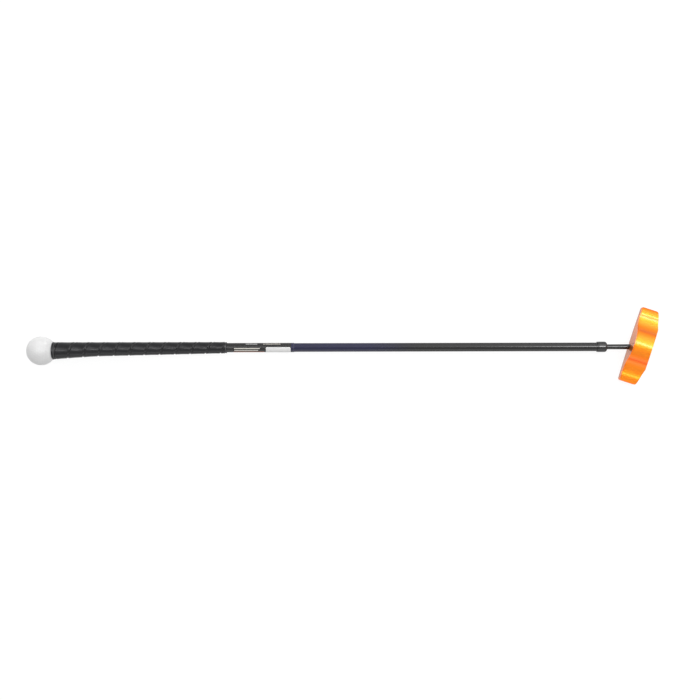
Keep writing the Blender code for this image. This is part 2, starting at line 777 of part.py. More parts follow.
def make_cup(finish):
    """Pick-up cup: a soft dish that fits the ball, with a body and a stem in the butt cap."""
    tip = ball_surface(CUP_RIM_RADIUS, SEAT_GAP)
    screw_hole = CUP_SCREW_RADIUS + SEAT_GAP
    head_hole = CUP_SCREW_HEAD_RADIUS + SEAT_GAP
    head_floor = cup_screw_seat()
    dish_slope = CAP_DISH_DEPTH / (GRIP_BUTT_RADIUS - CUP_BODY_RADIUS - SEAT_GAP)
    root = CAP_DISH_DEPTH - SEAT_GAP
    back = root - dish_slope * (CUP_RIM_RADIUS - CUP_BODY_RADIUS - SEAT_GAP)
    profile = [
        (screw_hole, CUP_STEM_END),
        (CUP_STEM_RADIUS, CUP_STEM_END),
        (CUP_STEM_RADIUS, CUP_BODY_END),
        (CUP_BODY_RADIUS, CUP_BODY_END),
        (CUP_BODY_RADIUS, root),
        (CUP_RIM_RADIUS, back),
        (CUP_RIM_RADIUS + CUP_RIM_BULGE, (back + tip) / 2),
    ]
    for radius in stations(CUP_RIM_RADIUS, head_hole, DISH_SPACING):
        profile.append((radius, ball_surface(radius, SEAT_GAP)))
    profile += [(head_hole, head_floor), (screw_hole, head_floor)]
    return paint(on_butt(turned("pickup_cup", profile)), finish)


def cup_screw_seat():
    """Station of the floor under the cup screw's head."""
    return ball_surface(0.0, SEAT_GAP) + CUP_SCREW_SINK + CUP_SCREW_HEAD_HEIGHT


def make_cup_screw(finish):
    """Screw that holds the cup's stem in the butt cap."""
    seat = cup_screw_seat() - SEAT_GAP
    top = seat - CUP_SCREW_HEAD_HEIGHT
    end = CUP_STEM_END - SEAT_GAP
    profile = [
        (0.0, end),
        (CUP_SCREW_RADIUS, end - CUP_SCREW_RADIUS),
        (CUP_SCREW_RADIUS, seat),
        (CUP_SCREW_HEAD_RADIUS, seat),
        (CUP_SCREW_HEAD_RADIUS - CUP_SCREW_HEAD_HEIGHT / 2, top),
        (0.0, top),
    ]
    return paint(on_butt(turned("cup_screw", profile, SMALL_ROUND_STEPS)), finish)


def make_ball(cover_finish, core_finish):
    """Ball: a rubber core in a cover moulded as two halves."""
    inner = BALL_RADIUS - BALL_COVER_THICKNESS
    core = inner - SEAT_GAP
    pole = math.pi / 2
    profile = [(0.0, core)]
    profile += arc((0.0, 0.0), core, pole, -pole, CORE_STEP)[1:-1]
    profile.append((0.0, -core))
    pieces = [paint(turned("ball_core", profile, BALL_STEPS, upright=True), core_finish)]
    edge = SEAT_GAP / 2
    outer_arc = arc((0.0, 0.0), BALL_RADIUS, pole, math.asin(edge / BALL_RADIUS), BALL_STEP)
    inner_arc = arc((0.0, 0.0), inner, math.asin(edge / inner), pole, CORNER_STEP)
    profile = [(0.0, BALL_RADIUS)] + outer_arc[1:] + inner_arc[:-1] + [(0.0, inner)]
    for name, flip in (("ball_cover_back", 0.0), ("ball_cover_front", math.pi)):
        half = turned(name, profile, BALL_STEPS, upright=True)
        half.rotation_euler = (flip, 0.0, 0.0)
        pieces.append(paint(half, cover_finish))
    for piece in pieces:
        piece.location = (BALL_AT, -grip_drop(0.0), 0.0)
    return pieces


def resting_pose():
    """Lay the club on its ball and its leading edge, which stays level."""
    edge_below = STEM_SETBACK + (HEAD_HEIGHT - EDGE_BREAK) * math.tan(LOFT_ANGLE)
    reach = (CLUB_LENGTH - BALL_AT) * math.cos(LEAN)
    raise_angle = math.asin(BALL_RADIUS / math.hypot(reach, edge_below))
    raise_angle -= math.atan2(edge_below, reach)
    toe_axis = Vector((math.sin(LEAN), math.cos(LEAN), 0.0))
    return Matrix.Rotation(raise_angle, 4, toe_axis)


def box_of(pieces):
    """Lowest and highest corners of some objects in world space."""
    bpy.context.view_layer.update()
    graph = bpy.context.evaluated_depsgraph_get()
    low = Vector((math.inf,) * 3)
    high = Vector((-math.inf,) * 3)
    for piece in pieces:
        evaluated = piece.evaluated_get(graph)
        for vertex in evaluated.data.vertices:
            point = evaluated.matrix_world @ vertex.co
            low = Vector(map(min, low, point))
            high = Vector(map(max, high, point))
    return low, high


def lay_down(pieces):
    """Hang the pieces on one empty, turn it to the resting pose and centre the club."""
    club = bpy.data.objects.new("club", None)
    CLUB.objects.link(club)
    bpy.context.view_layer.update()
    for piece in pieces + list(CUTTERS.objects):
        here = piece.matrix_world.copy()
        piece.parent = club
        piece.matrix_world = here
    club.matrix_world = resting_pose()
    low, high = box_of(pieces)
    middle = (low + high) / 2
    shift = Matrix.Translation((-middle.x, -middle.y, -low.z))
    club.matrix_world = shift @ club.matrix_world
    bpy.context.view_layer.update()


def main():
    """Build every piece of the club and lay it down."""
    clear_scene()
    orange = material("orange_anodised", (0.90, 0.31, 0.03), 0.25, 1.0)
    steel = material("weight_steel", (0.55, 0.56, 0.58), 0.30, 1.0)
    black_steel = material("black_steel", (0.06, 0.06, 0.07), 0.22, 1.0)
    bronze = material("bush_bronze", (0.60, 0.42, 0.20), 0.35, 1.0)
    black_paint = material("shaft_black", (0.015, 0.016, 0.028), 0.30, 0.6)
    film = material("band_film", (0.03, 0.03, 0.035), 0.35, 0.0)
    rubber = material("black_rubber", (0.03, 0.03, 0.032), 0.6, 0.0)
    tape = material("grip_tape", (0.045, 0.045, 0.047), 0.55, 0.0)
    white = material("ball_white", (0.85, 0.85, 0.84), 0.25, 0.0)
    core = material("ball_core", (0.30, 0.42, 0.50), 0.6, 0.0)
    pieces = [
        make_head(orange),
        make_weight("toe_weight", 1, steel),
        make_weight("heel_weight", -1, steel),
        make_stem(black_steel),
        make_stem_screw(steel),
        make_collar(black_steel),
        make_collet(bronze),
        make_tip_bush(bronze),
        make_shaft(black_paint),
        make_band(film),
        make_underlisting(rubber),
        make_wrap(tape),
        make_butt_cap(rubber),
        make_cup(rubber),
        make_cup_screw(steel),
    ]
    pieces += make_ball(white, core)
    lay_down(pieces)


main()
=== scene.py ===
"""The looks of a golf putter with a scalloped head and a ball in the cup at its butt.

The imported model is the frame. It lies face down, on its ball and its leading edge.
Every visible surface is built again here in fine mesh, on the same axes, and is given
a procedural finish. All sizes are in metres.
"""

import json
import logging
import math
from abc import ABC, abstractmethod
from dataclasses import dataclass
from enum import Enum
from typing import Callable, NamedTuple

import bmesh
import bpy
from mathutils import Matrix, Vector
from mathutils.kdtree import KDTree


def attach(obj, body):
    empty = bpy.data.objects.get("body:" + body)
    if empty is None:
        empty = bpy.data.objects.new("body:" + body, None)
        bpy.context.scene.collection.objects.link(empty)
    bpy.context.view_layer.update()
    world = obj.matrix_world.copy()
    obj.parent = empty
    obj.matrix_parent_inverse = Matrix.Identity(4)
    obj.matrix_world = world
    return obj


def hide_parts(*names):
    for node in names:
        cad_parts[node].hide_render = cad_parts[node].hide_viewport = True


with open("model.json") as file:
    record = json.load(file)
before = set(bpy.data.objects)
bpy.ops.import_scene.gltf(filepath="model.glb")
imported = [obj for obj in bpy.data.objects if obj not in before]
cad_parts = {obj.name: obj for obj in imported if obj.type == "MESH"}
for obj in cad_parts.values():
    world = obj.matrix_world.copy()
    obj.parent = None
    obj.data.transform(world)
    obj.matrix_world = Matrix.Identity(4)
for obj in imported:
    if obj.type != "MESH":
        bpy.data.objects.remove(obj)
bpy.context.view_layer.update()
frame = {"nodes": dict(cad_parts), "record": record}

LOG = logging.getLogger("putter")

SEAT_GAP = 0.0003
KEEN_EDGE = 0.0002
PLAIN_EDGE = 0.0003
SOFT_EDGE = 0.0004
MERGE = 0.000001
FINE_STEPS = 128
FINE_ANGLE = math.radians(1.5)
CORNER_ANGLE = math.radians(15.0)
SMOOTH_ANGLE = math.radians(35.0)
QUARTER_TURN = Matrix.Rotation(math.pi / 2, 4, "Y")
QUARTER_BACK = Matrix.Rotation(-math.pi / 2, 4, "Y")
NOISE_SPAN = (0.3, 0.7)
UNIT_SPAN = (0.0, 1.0)
WHITE = (1.0, 1.0, 1.0)
MIX_FIRST, MIX_SECOND, MIX_RESULT = 6, 7, 2

Colour = tuple[float, float, float]
Triple = tuple[float, float, float]
Point = tuple[float, float]
Span = tuple[float, float]
Corner = tuple[float, float] | tuple[float, float, float]
Shades = tuple[Colour, Colour]
Piece = bpy.types.Object
Material = bpy.types.Material
Socket = bpy.types.NodeSocket


class Body(Enum):
    """The bodies of the frame that a piece can ride on."""

    CLUB = "club"
    BALL = "ball"


class Side(Enum):
    """The two ends of the head, as signs along its length."""

    TOE = 1
    HEEL = -1


class HeadFace(Enum):
    """Material numbers of the head's faces, in the order of its finishes."""

    MILLED = 0
    STRIKING = 1
    CROWN = 2


class Cut(Enum):
    """What a Boolean does with its tool."""

    KEEP_SHARED = "INTERSECT"
    TAKE_AWAY = "DIFFERENCE"


class Detail(Enum):
    """How much fine detail a noise has, and how strong it is."""

    SOFT = (2.0, 0.5)
    FINE = (3.0, 0.5)
    CRISP = (4.0, 0.6)
    GRITTY = (4.0, 0.7)


class Lights(Enum):
    """What a lamp lights: colour and shine, colour alone, or shine alone."""

    ALL = (True, True)
    COLOUR = (True, False)
    SHINE = (False, True)


# Meshes


def arc(centre: Point, radius: float, start: float, end: float, step: float) -> list[Point]:
    """Points of an arc from one angle to another.

    Args:
        centre: Middle of the arc.
        radius: Radius of the arc.
        start: First angle, in radians.
        end: Last angle, in radians.
        step: Largest angle between two points.

    Returns:
        The points, both ends included.
    """
    count = max(2, math.ceil(abs(end - start) / step))
    points = []
    for index in range(count + 1):
        angle = start + (end - start) * index / count
        points.append((centre[0] + radius * math.cos(angle), centre[1] + radius * math.sin(angle)))
    return points


def rounded(corners: list[Corner], step: float = CORNER_ANGLE) -> list[Point]:
    """Round the corners of a closed outline, each by its own radius.

    Args:
        corners: The corners as (x, y, radius), or as (x, y) where they stay sharp.
        step: Largest angle between two points of a rounding.

    Returns:
        The rounded outline.
    """
    outline: list[Point] = []
    count = len(corners)
    for index, (x, y, *given) in enumerate(corners):
        here = Vector((x, y))
        before = Vector(corners[index - 1][:2]) - here
        after = Vector(corners[(index + 1) % count][:2]) - here
        if not given or before.length == 0 or after.length == 0:
            outline.append((x, y))
            continue
        radius = given[0]
        before.normalize()
        after.normalize()
        half = before.angle(after) / 2
        middle = here + (before + after).normalized() * radius / math.sin(half)
        first = here + before * radius / math.tan(half) - middle
        last = here + after * radius / math.tan(half) - middle
        start = math.atan2(first.y, first.x)
        turn = math.atan2(last.y, last.x) - start
        turn = (turn + math.pi) % (2 * math.pi) - math.pi
        outline.extend(arc((middle.x, middle.y), radius, start, start + turn, step))
    return outline


def spaced(first: float, last: float, spacing: float) -> list[float]:
    """Evenly spaced values from first to last, both included."""
    count = max(1, round(abs(last - first) / spacing))
    return [first + (last - first) * index / count for index in range(count + 1)]


def smooth_step(share: float) -> float:
    """Rise from 0 to 1 with level ends as the share goes from 0 to 1."""
    held = min(1.0, max(0.0, share))
    return held * held * (3 - 2 * held)


def linked(name: str, data: bpy.types.ID) -> Piece:
    """Make an object and link it to the scene.

    Args:
        name: Its name.
        data: Its mesh, lamp or camera.

    Returns:
        The object.
    """
    made = bpy.data.objects.new(name, data)
    bpy.context.scene.collection.objects.link(made)
    return made


def piece_from(name: str, vertices: list[Triple], faces: list[tuple[int, ...]], axes: Matrix) -> Piece:
    """Make an object from plain lists, with clean outward normals.

    Args:
        name: Name of the piece.
        vertices: Vertex positions in the piece's own axes.
        faces: Vertex numbers of each face.
        axes: Where the piece's axes lie.

    Returns:
        The piece, linked to the scene and shaded smooth between its sharp edges.
    """
    mesh = bpy.data.meshes.new(name)
    mesh.from_pydata(vertices, [], faces)
    work = bmesh.new()
    work.from_mesh(mesh)
    bmesh.ops.remove_doubles(work, verts=work.verts, dist=MERGE)
    bmesh.ops.recalc_face_normals(work, faces=work.faces)
    work.to_mesh(mesh)
    work.free()
    mesh.shade_smooth()
    mesh.set_sharp_from_angle(angle=SMOOTH_ANGLE)
    piece = linked(name, mesh)
    piece.matrix_world = axes
    return piece


def lathe(
    name: str,
    profile: list[Point],
    axes: Matrix,
    steps: int = FINE_STEPS,
    closed: bool = True,
    drop: Callable[[float], float] | None = None,
) -> Piece:
    """Turn a profile round the x axis of a frame.

    Args:
        name: Name of the piece.
        profile: The (station, radius) points of the section.
        axes: The frame.
        steps: Number of steps round the axis.
        closed: Whether the profile's last point joins its first.
        drop: How far the middle of the section lies below the axis at a station.

    Returns:
        The turned piece.
    """
    size = len(profile)
    vertices = []
    for step in range(steps):
        angle = 2 * math.pi * step / steps
        for station, radius in profile:
            across = radius * math.sin(angle) - (drop(station) if drop else 0.0)
            vertices.append((station, across, radius * math.cos(angle)))
    faces = []
    for step in range(steps):
        row = step * size
        after = (step + 1) % steps * size
        for index in range(size if closed else size - 1):
            beside = (index + 1) % size
            faces.append((row + index, row + beside, after + beside, after + index))
    return piece_from(name, vertices, faces, axes)


def prism(name: str, outline: list[Point], low: float, high: float, turn: Matrix) -> Piece:
    """Extrude a flat outline from one height to another.

    Args:
        name: Name of the solid.
        outline: Points of the outline in the frame's x and y.
        low: Height of the lower end along the frame's z.
        high: Height of the upper end.
        turn: The frame.

    Returns:
        The solid.
    """
    count = len(outline)
    vertices = [(x, y, height) for height in (low, high) for x, y in outline]
    faces = [tuple(range(count)), tuple(range(count, 2 * count))]
    for index in range(count):
        after = (index + 1) % count
        faces.append((index, after, count + after, count + index))
    return piece_from(name, vertices, faces, turn)


def rod(name: str, radius: float, low: float, high: float, turn: Matrix, steps: int) -> Piece:
    """Make a round or many-sided bar along the z axis of a frame, used as a cutter.

    Args:
        name: Name of the bar.
        radius: Radius of its corners.
        low: Height of its lower end.
        high: Height of its upper end.
        turn: The frame.
        steps: Number of its sides.

    Returns:
        The bar.
    """
    circle = []
    for step in range(steps):
        angle = 2 * math.pi * step / steps
        circle.append((radius * math.cos(angle), radius * math.sin(angle)))
    return prism(name, circle, low, high, turn)


def combine(piece: Piece, tool: Piece, cut: Cut) -> None:
    """Let a piece keep what it shares with a tool, or take the tool away from it.

    Args:
        piece: The piece.
        tool: The tool.
        cut: What is done with the tool.
    """
    boolean = piece.modifiers.new(tool.name, "BOOLEAN")
    boolean.operation = cut.value
    boolean.object = tool
    boolean.solver = "EXACT"


def freeze(piece: Piece, tools: list[Piece]) -> None:
    """Turn a piece's modifiers into plain mesh and remove its tools.

    Args:
        piece: The piece.
        tools: The tools that its modifiers use.
    """
    bpy.context.view_layer.update()
    evaluated = piece.evaluated_get(bpy.context.evaluated_depsgraph_get())
    mesh = bpy.data.meshes.new_from_object(evaluated)
    mesh.name = piece.name
    piece.modifiers.clear()
    piece.data = mesh
    for tool in tools:
        bpy.data.objects.remove(tool, do_unlink=True)


def settle_normals(piece: Piece) -> None:
    """Shade a piece smooth between its edges, with its broad faces kept flat.

    Args:
        piece: The piece.
    """
    piece.data.shade_smooth()
    piece.data.set_sharp_from_angle(angle=SMOOTH_ANGLE)
    weigh = piece.modifiers.new("Flat faces", "WEIGHTED_NORMAL")
    weigh.keep_sharp = True
    freeze(piece, [])


def drill(piece: Piece, tools: list[Piece]) -> None:
    """Take tools away from a piece and shade what is left.

    Args:
        piece: The piece.
        tools: The tools, which go.
    """
    for tool in tools:
        combine(piece, tool, Cut.TAKE_AWAY)
    freeze(piece, tools)
    settle_normals(piece)


def square_up(piece: Piece) -> None:
    """Give a piece axes that are square to the model's, with its origin kept where it is.

    Args:
        piece: The piece.
    """
    origin = Matrix.Translation(piece.matrix_world.translation)
    piece.data.transform(origin.inverted() @ piece.matrix_world)
    piece.matrix_world = origin


# Finishes


@dataclass(frozen=True)
class Gloss:
    """How a surface reflects, as plain values of the shader's own sockets."""

    metallic: float = 0.0
    ior: float = 1.5
    coat_weight: float = 0.0
    coat_roughness: float = 0.03
    coat_ior: float = 1.5


class Nodes:
    """The nodes of a material or a world, and the calls that build them."""

    def __init__(self, owner: Material | bpy.types.World, clear: bool = False) -> None:
        """Take up the nodes of a material or a world.

        Args:
            owner: The material or the world.
            clear: Whether the nodes that it starts with are removed.
        """
        owner.use_nodes = True
        self.tree = owner.node_tree
        if clear:
            self.tree.nodes.clear()

    def node(self, kind: str, joined: dict[str | int, object], **settings: object) -> bpy.types.Node:
        """Add a node.

        Args:
            kind: The node's type, without its ShaderNode prefix.
            joined: Its inputs by name or number, each a socket or a plain value.
            settings: Its properties.

        Returns:
            The node.
        """
        made = self.tree.nodes.new("ShaderNode" + kind)
        for key, value in settings.items():
            setattr(made, key, value)
        for key, value in joined.items():
            entry = made.inputs[key]
            if isinstance(value, Socket):
                self.tree.links.new(value, entry)
            else:
                entry.default_value = (*value, 1.0) if entry.type == "RGBA" else value
        return made

    def math(self, operation: str, first: Socket | float, second: Socket | float = 0.0) -> Socket:
        """Join two values by a math operation."""
        return self.node("Math", {0: first, 1: second}, operation=operation).outputs[0]

    def vector(self, operation: str, first: Socket, second: Triple) -> Socket:
        """Join two vectors by an operation that gives a vector."""
        return self.node("VectorMath", {0: first, 1: second}, operation=operation).outputs[0]

    def span(self, value: Socket, source: Span, target: Span, smooth: bool = False) -> Socket:
        """Map a value from one span to another, clamped.

        Args:
            value: The value.
            source: The span that it comes from.
            target: The span that it goes to.
            smooth: Whether the ends of the span are eased.

        Returns:
            The mapped value.
        """
        names = ("Value", "From Min", "From Max", "To Min", "To Max")
        kind = "SMOOTHSTEP" if smooth else "LINEAR"
        joined = dict(zip(names, (value, *source, *target)))
        return self.node("MapRange", joined, interpolation_type=kind).outputs[0]

    def background(self, strength: Socket | float) -> Socket:
        """White surroundings of a strength."""
        return self.node("Background", {"Color": WHITE, "Strength": strength}).outputs[0]


class Graph(Nodes):
    """The nodes of one material, round its shader."""

    def __init__(self, name: str, gloss: Gloss) -> None:
        """Start a material with a Principled shader.

        Args:
            name: Name of the material.
            gloss: Plain values of the shader's own sockets.
        """
        self.material = bpy.data.materials.new(name)
        super().__init__(self.material)
        self.shader = self.tree.nodes["Principled BSDF"]
        for socket in self.shader.inputs:
            key = socket.name.lower().replace(" ", "_")
            if hasattr(gloss, key):
                socket.default_value = getattr(gloss, key)

    def feed(self, socket: Socket, name: str) -> None:
        """Join a socket to one of the shader's inputs."""
        self.tree.links.new(socket, self.shader.inputs[name])

    def place(self, turn: Triple | None = None) -> Socket:
        """Position in the piece's own axes, or in turned ones.

        Args:
            turn: Three angles of the turned axes.

        Returns:
            The position.
        """
        own = self.node("TexCoord", {}).outputs["Object"]
        if turn is None:
            return own
        return self.node("Mapping", {"Vector": own, "Rotation": turn}).outputs[0]

    def axis(self, place: Socket, name: str) -> Socket:
        """One of the X, Y and Z values of a position."""
        return self.node("SeparateXYZ", {0: place}).outputs[name]

    def away(self, value: Socket, middle: float) -> Socket:
        """How far a value is from a middle."""
        return self.math("ABSOLUTE", self.math("SUBTRACT", value, middle))

    def noise(self, place: Socket, size: float, detail: Detail = Detail.SOFT) -> Socket:
        """Soft noise from 0 to 1, whose blots are about a size across."""
        values = dict(zip(("Detail", "Roughness"), detail.value))
        return self.node("TexNoise", {"Vector": place, "Scale": 1 / size, **values}).outputs["Fac"]

    def cells(self, place: Socket, size: float) -> Socket:
        """Distance to the edges of grain cells about a size across."""
        joined = {"Vector": place, "Scale": 1 / size}
        return self.node("TexVoronoi", joined, feature="DISTANCE_TO_EDGE").outputs["Distance"]

    def blend(self, share: Socket, first: Socket | Colour, second: Colour) -> Socket:
        """Mix two colours, the second one by a share."""
        joined = {0: share, MIX_FIRST: first, MIX_SECOND: second}
        return self.node("Mix", joined, data_type="RGBA").outputs[MIX_RESULT]


class Surface(NamedTuple):
    """What a finish feeds to its shader: colour, roughness, and relief with its depth."""

    colour: Socket
    roughness: Socket
    height: Socket
    depth: float


@dataclass(frozen=True, kw_only=True)
class Finish(ABC):
    """What a piece is made of and how its surface is worked."""

    name: str
    gloss: Gloss = Gloss()

    @abstractmethod
    def surface(self, graph: Graph) -> Surface:
        """Build the nodes of the surface.

        Args:
            graph: The nodes of the material.

        Returns:
            Colour, roughness and relief.
        """

    def material(self) -> Material:
        """Make the finish as a material.

        Returns:
            The material.
        """
        graph = Graph(self.name, self.gloss)
        surface = self.surface(graph)
        relief = graph.node("Bump", {"Height": surface.height, "Distance": surface.depth})
        graph.feed(surface.colour, "Base Color")
        graph.feed(surface.roughness, "Roughness")
        graph.feed(relief.outputs[0], "Normal")
        return graph.material


@dataclass(frozen=True)
class PaintedShadeBand:
    """A band of painted shade: its place along one of the head's axes, and how dark it shows."""

    at: float
    depth: float
    width: float
    axis: str = "X"


@dataclass(frozen=True, kw_only=True)
class AnodisedFinish(Finish):
    """Dyed and sealed aluminium, with the fine marks that a milling cutter leaves and painted shade along
    its corners and edges.
    """

    turn: Triple
    painted_shade_bands: tuple[PaintedShadeBand, ...]
    name: str = "orange_anodise"
    gloss: Gloss = Gloss(metallic=1.0, coat_weight=0.48, coat_roughness=0.18)
    colour: Colour = (0.86, 0.226, 0.0012)
    deep_colour: Colour = (0.83, 0.210, 0.0008)
    # Colour of the painted shade in the corners and along the edges.
    painted_shade_colour: Colour = (0.73, 0.100, 0.0006)
    crease_core: float = 0.0003
    roughness: Span = (0.38, 0.44)
    mark_size: float = 0.0007
    mark_stretch: Triple = (1.0, 0.02, 1.0)
    mark_depth: float = 0.0000012
    cloud_size: float = 0.012

    def surface(self, graph: Graph) -> Surface:
        """Painted shade in the corners and along the edges, over clouded dye, under fine marks.

        Args:
            graph: The nodes of the material.

        Returns:
            Colour, roughness and relief.
        """
        place = graph.place(self.turn)
        stretched = graph.vector("MULTIPLY", place, self.mark_stretch)
        marks = graph.noise(stretched, self.mark_size, Detail.FINE)
        # Painted shade: each band darkens the dye towards its line, and the darkest band wins.
        painted_shade_mask: Socket | float = 0.0
        for crease in self.painted_shade_bands:
            away = graph.away(graph.axis(place, crease.axis), crease.at)
            here = graph.span(away, (self.crease_core, crease.width), (crease.depth, 0.0))
            painted_shade_mask = graph.math("MAXIMUM", here, painted_shade_mask)
        dye = graph.blend(graph.noise(place, self.cloud_size), self.deep_colour, self.colour)
        colour = graph.blend(painted_shade_mask, dye, self.painted_shade_colour)
        return Surface(colour, graph.span(marks, NOISE_SPAN, self.roughness), marks, self.mark_depth)


@dataclass(frozen=True, kw_only=True)
class CrownFinish(AnodisedFinish):
    """The same metal on the crown, a little rougher, painted darker and with less metal: painted shade for
    the shadowed floor that it mirrors.
    """

    name: str = "orange_crown"
    gloss: Gloss = Gloss(metallic=0.72, coat_weight=0.7, coat_roughness=0.12)
    # Darker than the walls' dye: painted shade.
    colour: Colour = (0.72, 0.180, 0.001)
    deep_colour: Colour = (0.68, 0.164, 0.001)
    # Colour of the painted shade round the stem and along the face.
    painted_shade_colour: Colour = (0.26, 0.048, 0.001)
    roughness: Span = (0.40, 0.50)
    mark_size: float = 0.0005
    mark_stretch: Triple = (0.3, 1.0, 1.0)
    mark_depth: float = 0.0000015


@dataclass(frozen=True, kw_only=True)
class FlyCutFinish(Finish):
    """The same anodised metal where a fly cutter has swept arcs across the face."""

    turn: Triple
    name: str = "orange_fly_cut_face"
    gloss: Gloss = Gloss(metallic=1.0, coat_weight=0.15, coat_roughness=0.1)
    colour: Colour = (0.95, 0.228, 0.002)
    deep_colour: Colour = (0.88, 0.185, 0.0015)
    roughness: Span = (0.22, 0.34)
    pitch: float = 0.0009
    sweep_centre: Triple = (0.075, 0.012, 0.0)
    depth: float = 0.000012

    def surface(self, graph: Graph) -> Surface:
        """Ridges in arcs about the middle of the cutter's sweep.

        Args:
            graph: The nodes of the material.

        Returns:
            Colour, roughness and relief.
        """
        place = graph.vector("SUBTRACT", graph.place(self.turn), self.sweep_centre)
        reach = graph.node("VectorMath", {0: place}, operation="LENGTH").outputs["Value"]
        turns = graph.math("MULTIPLY", reach, 2 * math.pi / self.pitch)
        ridges = graph.span(graph.math("SINE", turns), (-1.0, 1.0), UNIT_SPAN)
        scuff = graph.noise(place, self.pitch / 2, Detail.FINE)
        colour = graph.blend(ridges, self.deep_colour, self.colour)
        return Surface(colour, graph.span(scuff, NOISE_SPAN, self.roughness), ridges, self.depth)


@dataclass(frozen=True, kw_only=True)
class GrainFinish(Finish):
    """Two close shades, and one fine grain that gives both the roughness and the relief.

    The shades change with the grain itself, or with blots that are some times as large.
    """

    shades: Shades
    roughness: Span
    grain_size: float
    grain_depth: float
    detail: Detail = Detail.CRISP
    stretch: Triple | None = None
    blot_factor: float | None = None

    def surface(self, graph: Graph) -> Surface:
        """Blend the shades and spread the grain.

        Args:
            graph: The nodes of the material.

        Returns:
            Colour, roughness and relief.
        """
        place = graph.place()
        stretched = place if self.stretch is None else graph.vector("MULTIPLY", place, self.stretch)
        grain = blots = graph.noise(stretched, self.grain_size, self.detail)
        if self.blot_factor is not None:
            blots = graph.noise(place, self.grain_size * self.blot_factor)
        colour = graph.blend(blots, *self.shades)
        return Surface(colour, graph.span(grain, NOISE_SPAN, self.roughness), grain, self.grain_depth)


@dataclass(frozen=True, kw_only=True)
class TurnedMetalFinish(GrainFinish):
    """Plain metal with the fine marks that a lathe tool leaves."""

    gloss: Gloss = Gloss(metallic=1.0)
    roughness: Span = (0.22, 0.38)
    grain_size: float = 0.0004
    grain_depth: float = 0.000003
    blot_factor: float = 12.0


@dataclass(frozen=True, kw_only=True)
class GlossBlackFinish(GrainFinish):
    """Black plated or lacquered metal: a dark ground under a clear hard gloss."""

    name: str = "black_gloss_plating"
    shades: Shades = ((0.0022, 0.0022, 0.0025), (0.006, 0.006, 0.0065))
    roughness: Span = (0.11, 0.16)
    grain_size: float = 0.0009
    grain_depth: float = 0.0000006
    detail: Detail = Detail.FINE
    stretch: Triple = (0.04, 1.0, 1.0)


@dataclass(frozen=True, kw_only=True)
class PaperFinish(GrainFinish):
    """White coated paper, a little worn."""

    name: str = "white_paper"
    gloss: Gloss = Gloss(ior=1.45)
    shades: Shades = ((0.88, 0.88, 0.88), (0.93, 0.93, 0.92))
    roughness: Span = (0.40, 0.55)
    grain_size: float = 0.0005
    grain_depth: float = 0.00001


@dataclass(frozen=True, kw_only=True)
class RubberFinish(GrainFinish):
    """Moulded rubber."""

    gloss: Gloss = Gloss(ior=1.52)
    grain_size: float = 0.0005
    grain_depth: float = 0.000012
    detail: Detail = Detail.FINE
    blot_factor: float = 20.0


@dataclass(frozen=True, kw_only=True)
class BallCoverFinish(GrainFinish):
    """White moulded ball cover under a clear coat."""

    name: str = "white_ball_cover"
    gloss: Gloss = Gloss(ior=1.45, coat_weight=0.1, coat_roughness=0.3)
    shades: Shades = ((0.805, 0.805, 0.805), (0.845, 0.845, 0.845))
    roughness: Span = (0.42, 0.52)
    grain_size: float = 0.0012
    grain_depth: float = 0.000006
    blot_factor: float = 8.0


@dataclass(frozen=True, kw_only=True)
class FadedPaintFinish(Finish):
    """Shaft lacquer that fades from midnight blue below the grip to black."""

    name: str = "shaft_lacquer"
    gloss: Gloss = Gloss(ior=1.46)
    blue: Colour = (0.0015, 0.0022, 0.040)
    black: Colour = (0.003, 0.003, 0.0034)
    fade: Span = (0.455, 0.555)
    wander_size: float = 0.03
    wander_reach: float = 0.012
    roughness: Span = (0.14, 0.17)
    speck_size: float = 0.0008
    speck_span: Span = (0.45, 0.8)
    speck_share: Span = (0.0, 0.12)
    speck_colour: Colour = (0.03, 0.032, 0.045)
    peel_size: float = 0.0035
    peel_depth: float = 0.0000015

    def surface(self, graph: Graph) -> Surface:
        """A fade whose edge wanders, with fine specks in it and a slight peel.

        Args:
            graph: The nodes of the material.

        Returns:
            Colour, roughness and relief.
        """
        place = graph.place()
        wander = graph.math("MULTIPLY", graph.noise(place, self.wander_size), self.wander_reach)
        along = graph.math("ADD", graph.axis(place, "X"), wander)
        share = graph.span(along, self.fade, UNIT_SPAN, smooth=True)
        specks = graph.noise(place, self.speck_size, Detail.GRITTY)
        lift = graph.span(specks, self.speck_span, self.speck_share)
        colour = graph.blend(lift, graph.blend(share, self.blue, self.black), self.speck_colour)
        roughness = graph.span(specks, NOISE_SPAN, self.roughness)
        return Surface(colour, roughness, graph.noise(place, self.peel_size), self.peel_depth)


@dataclass(frozen=True)
class InkRule:
    """A plain printed rule: where it runs along the shaft and round it."""

    start: float
    end: float
    angle: float
    width: float
    colour: Colour


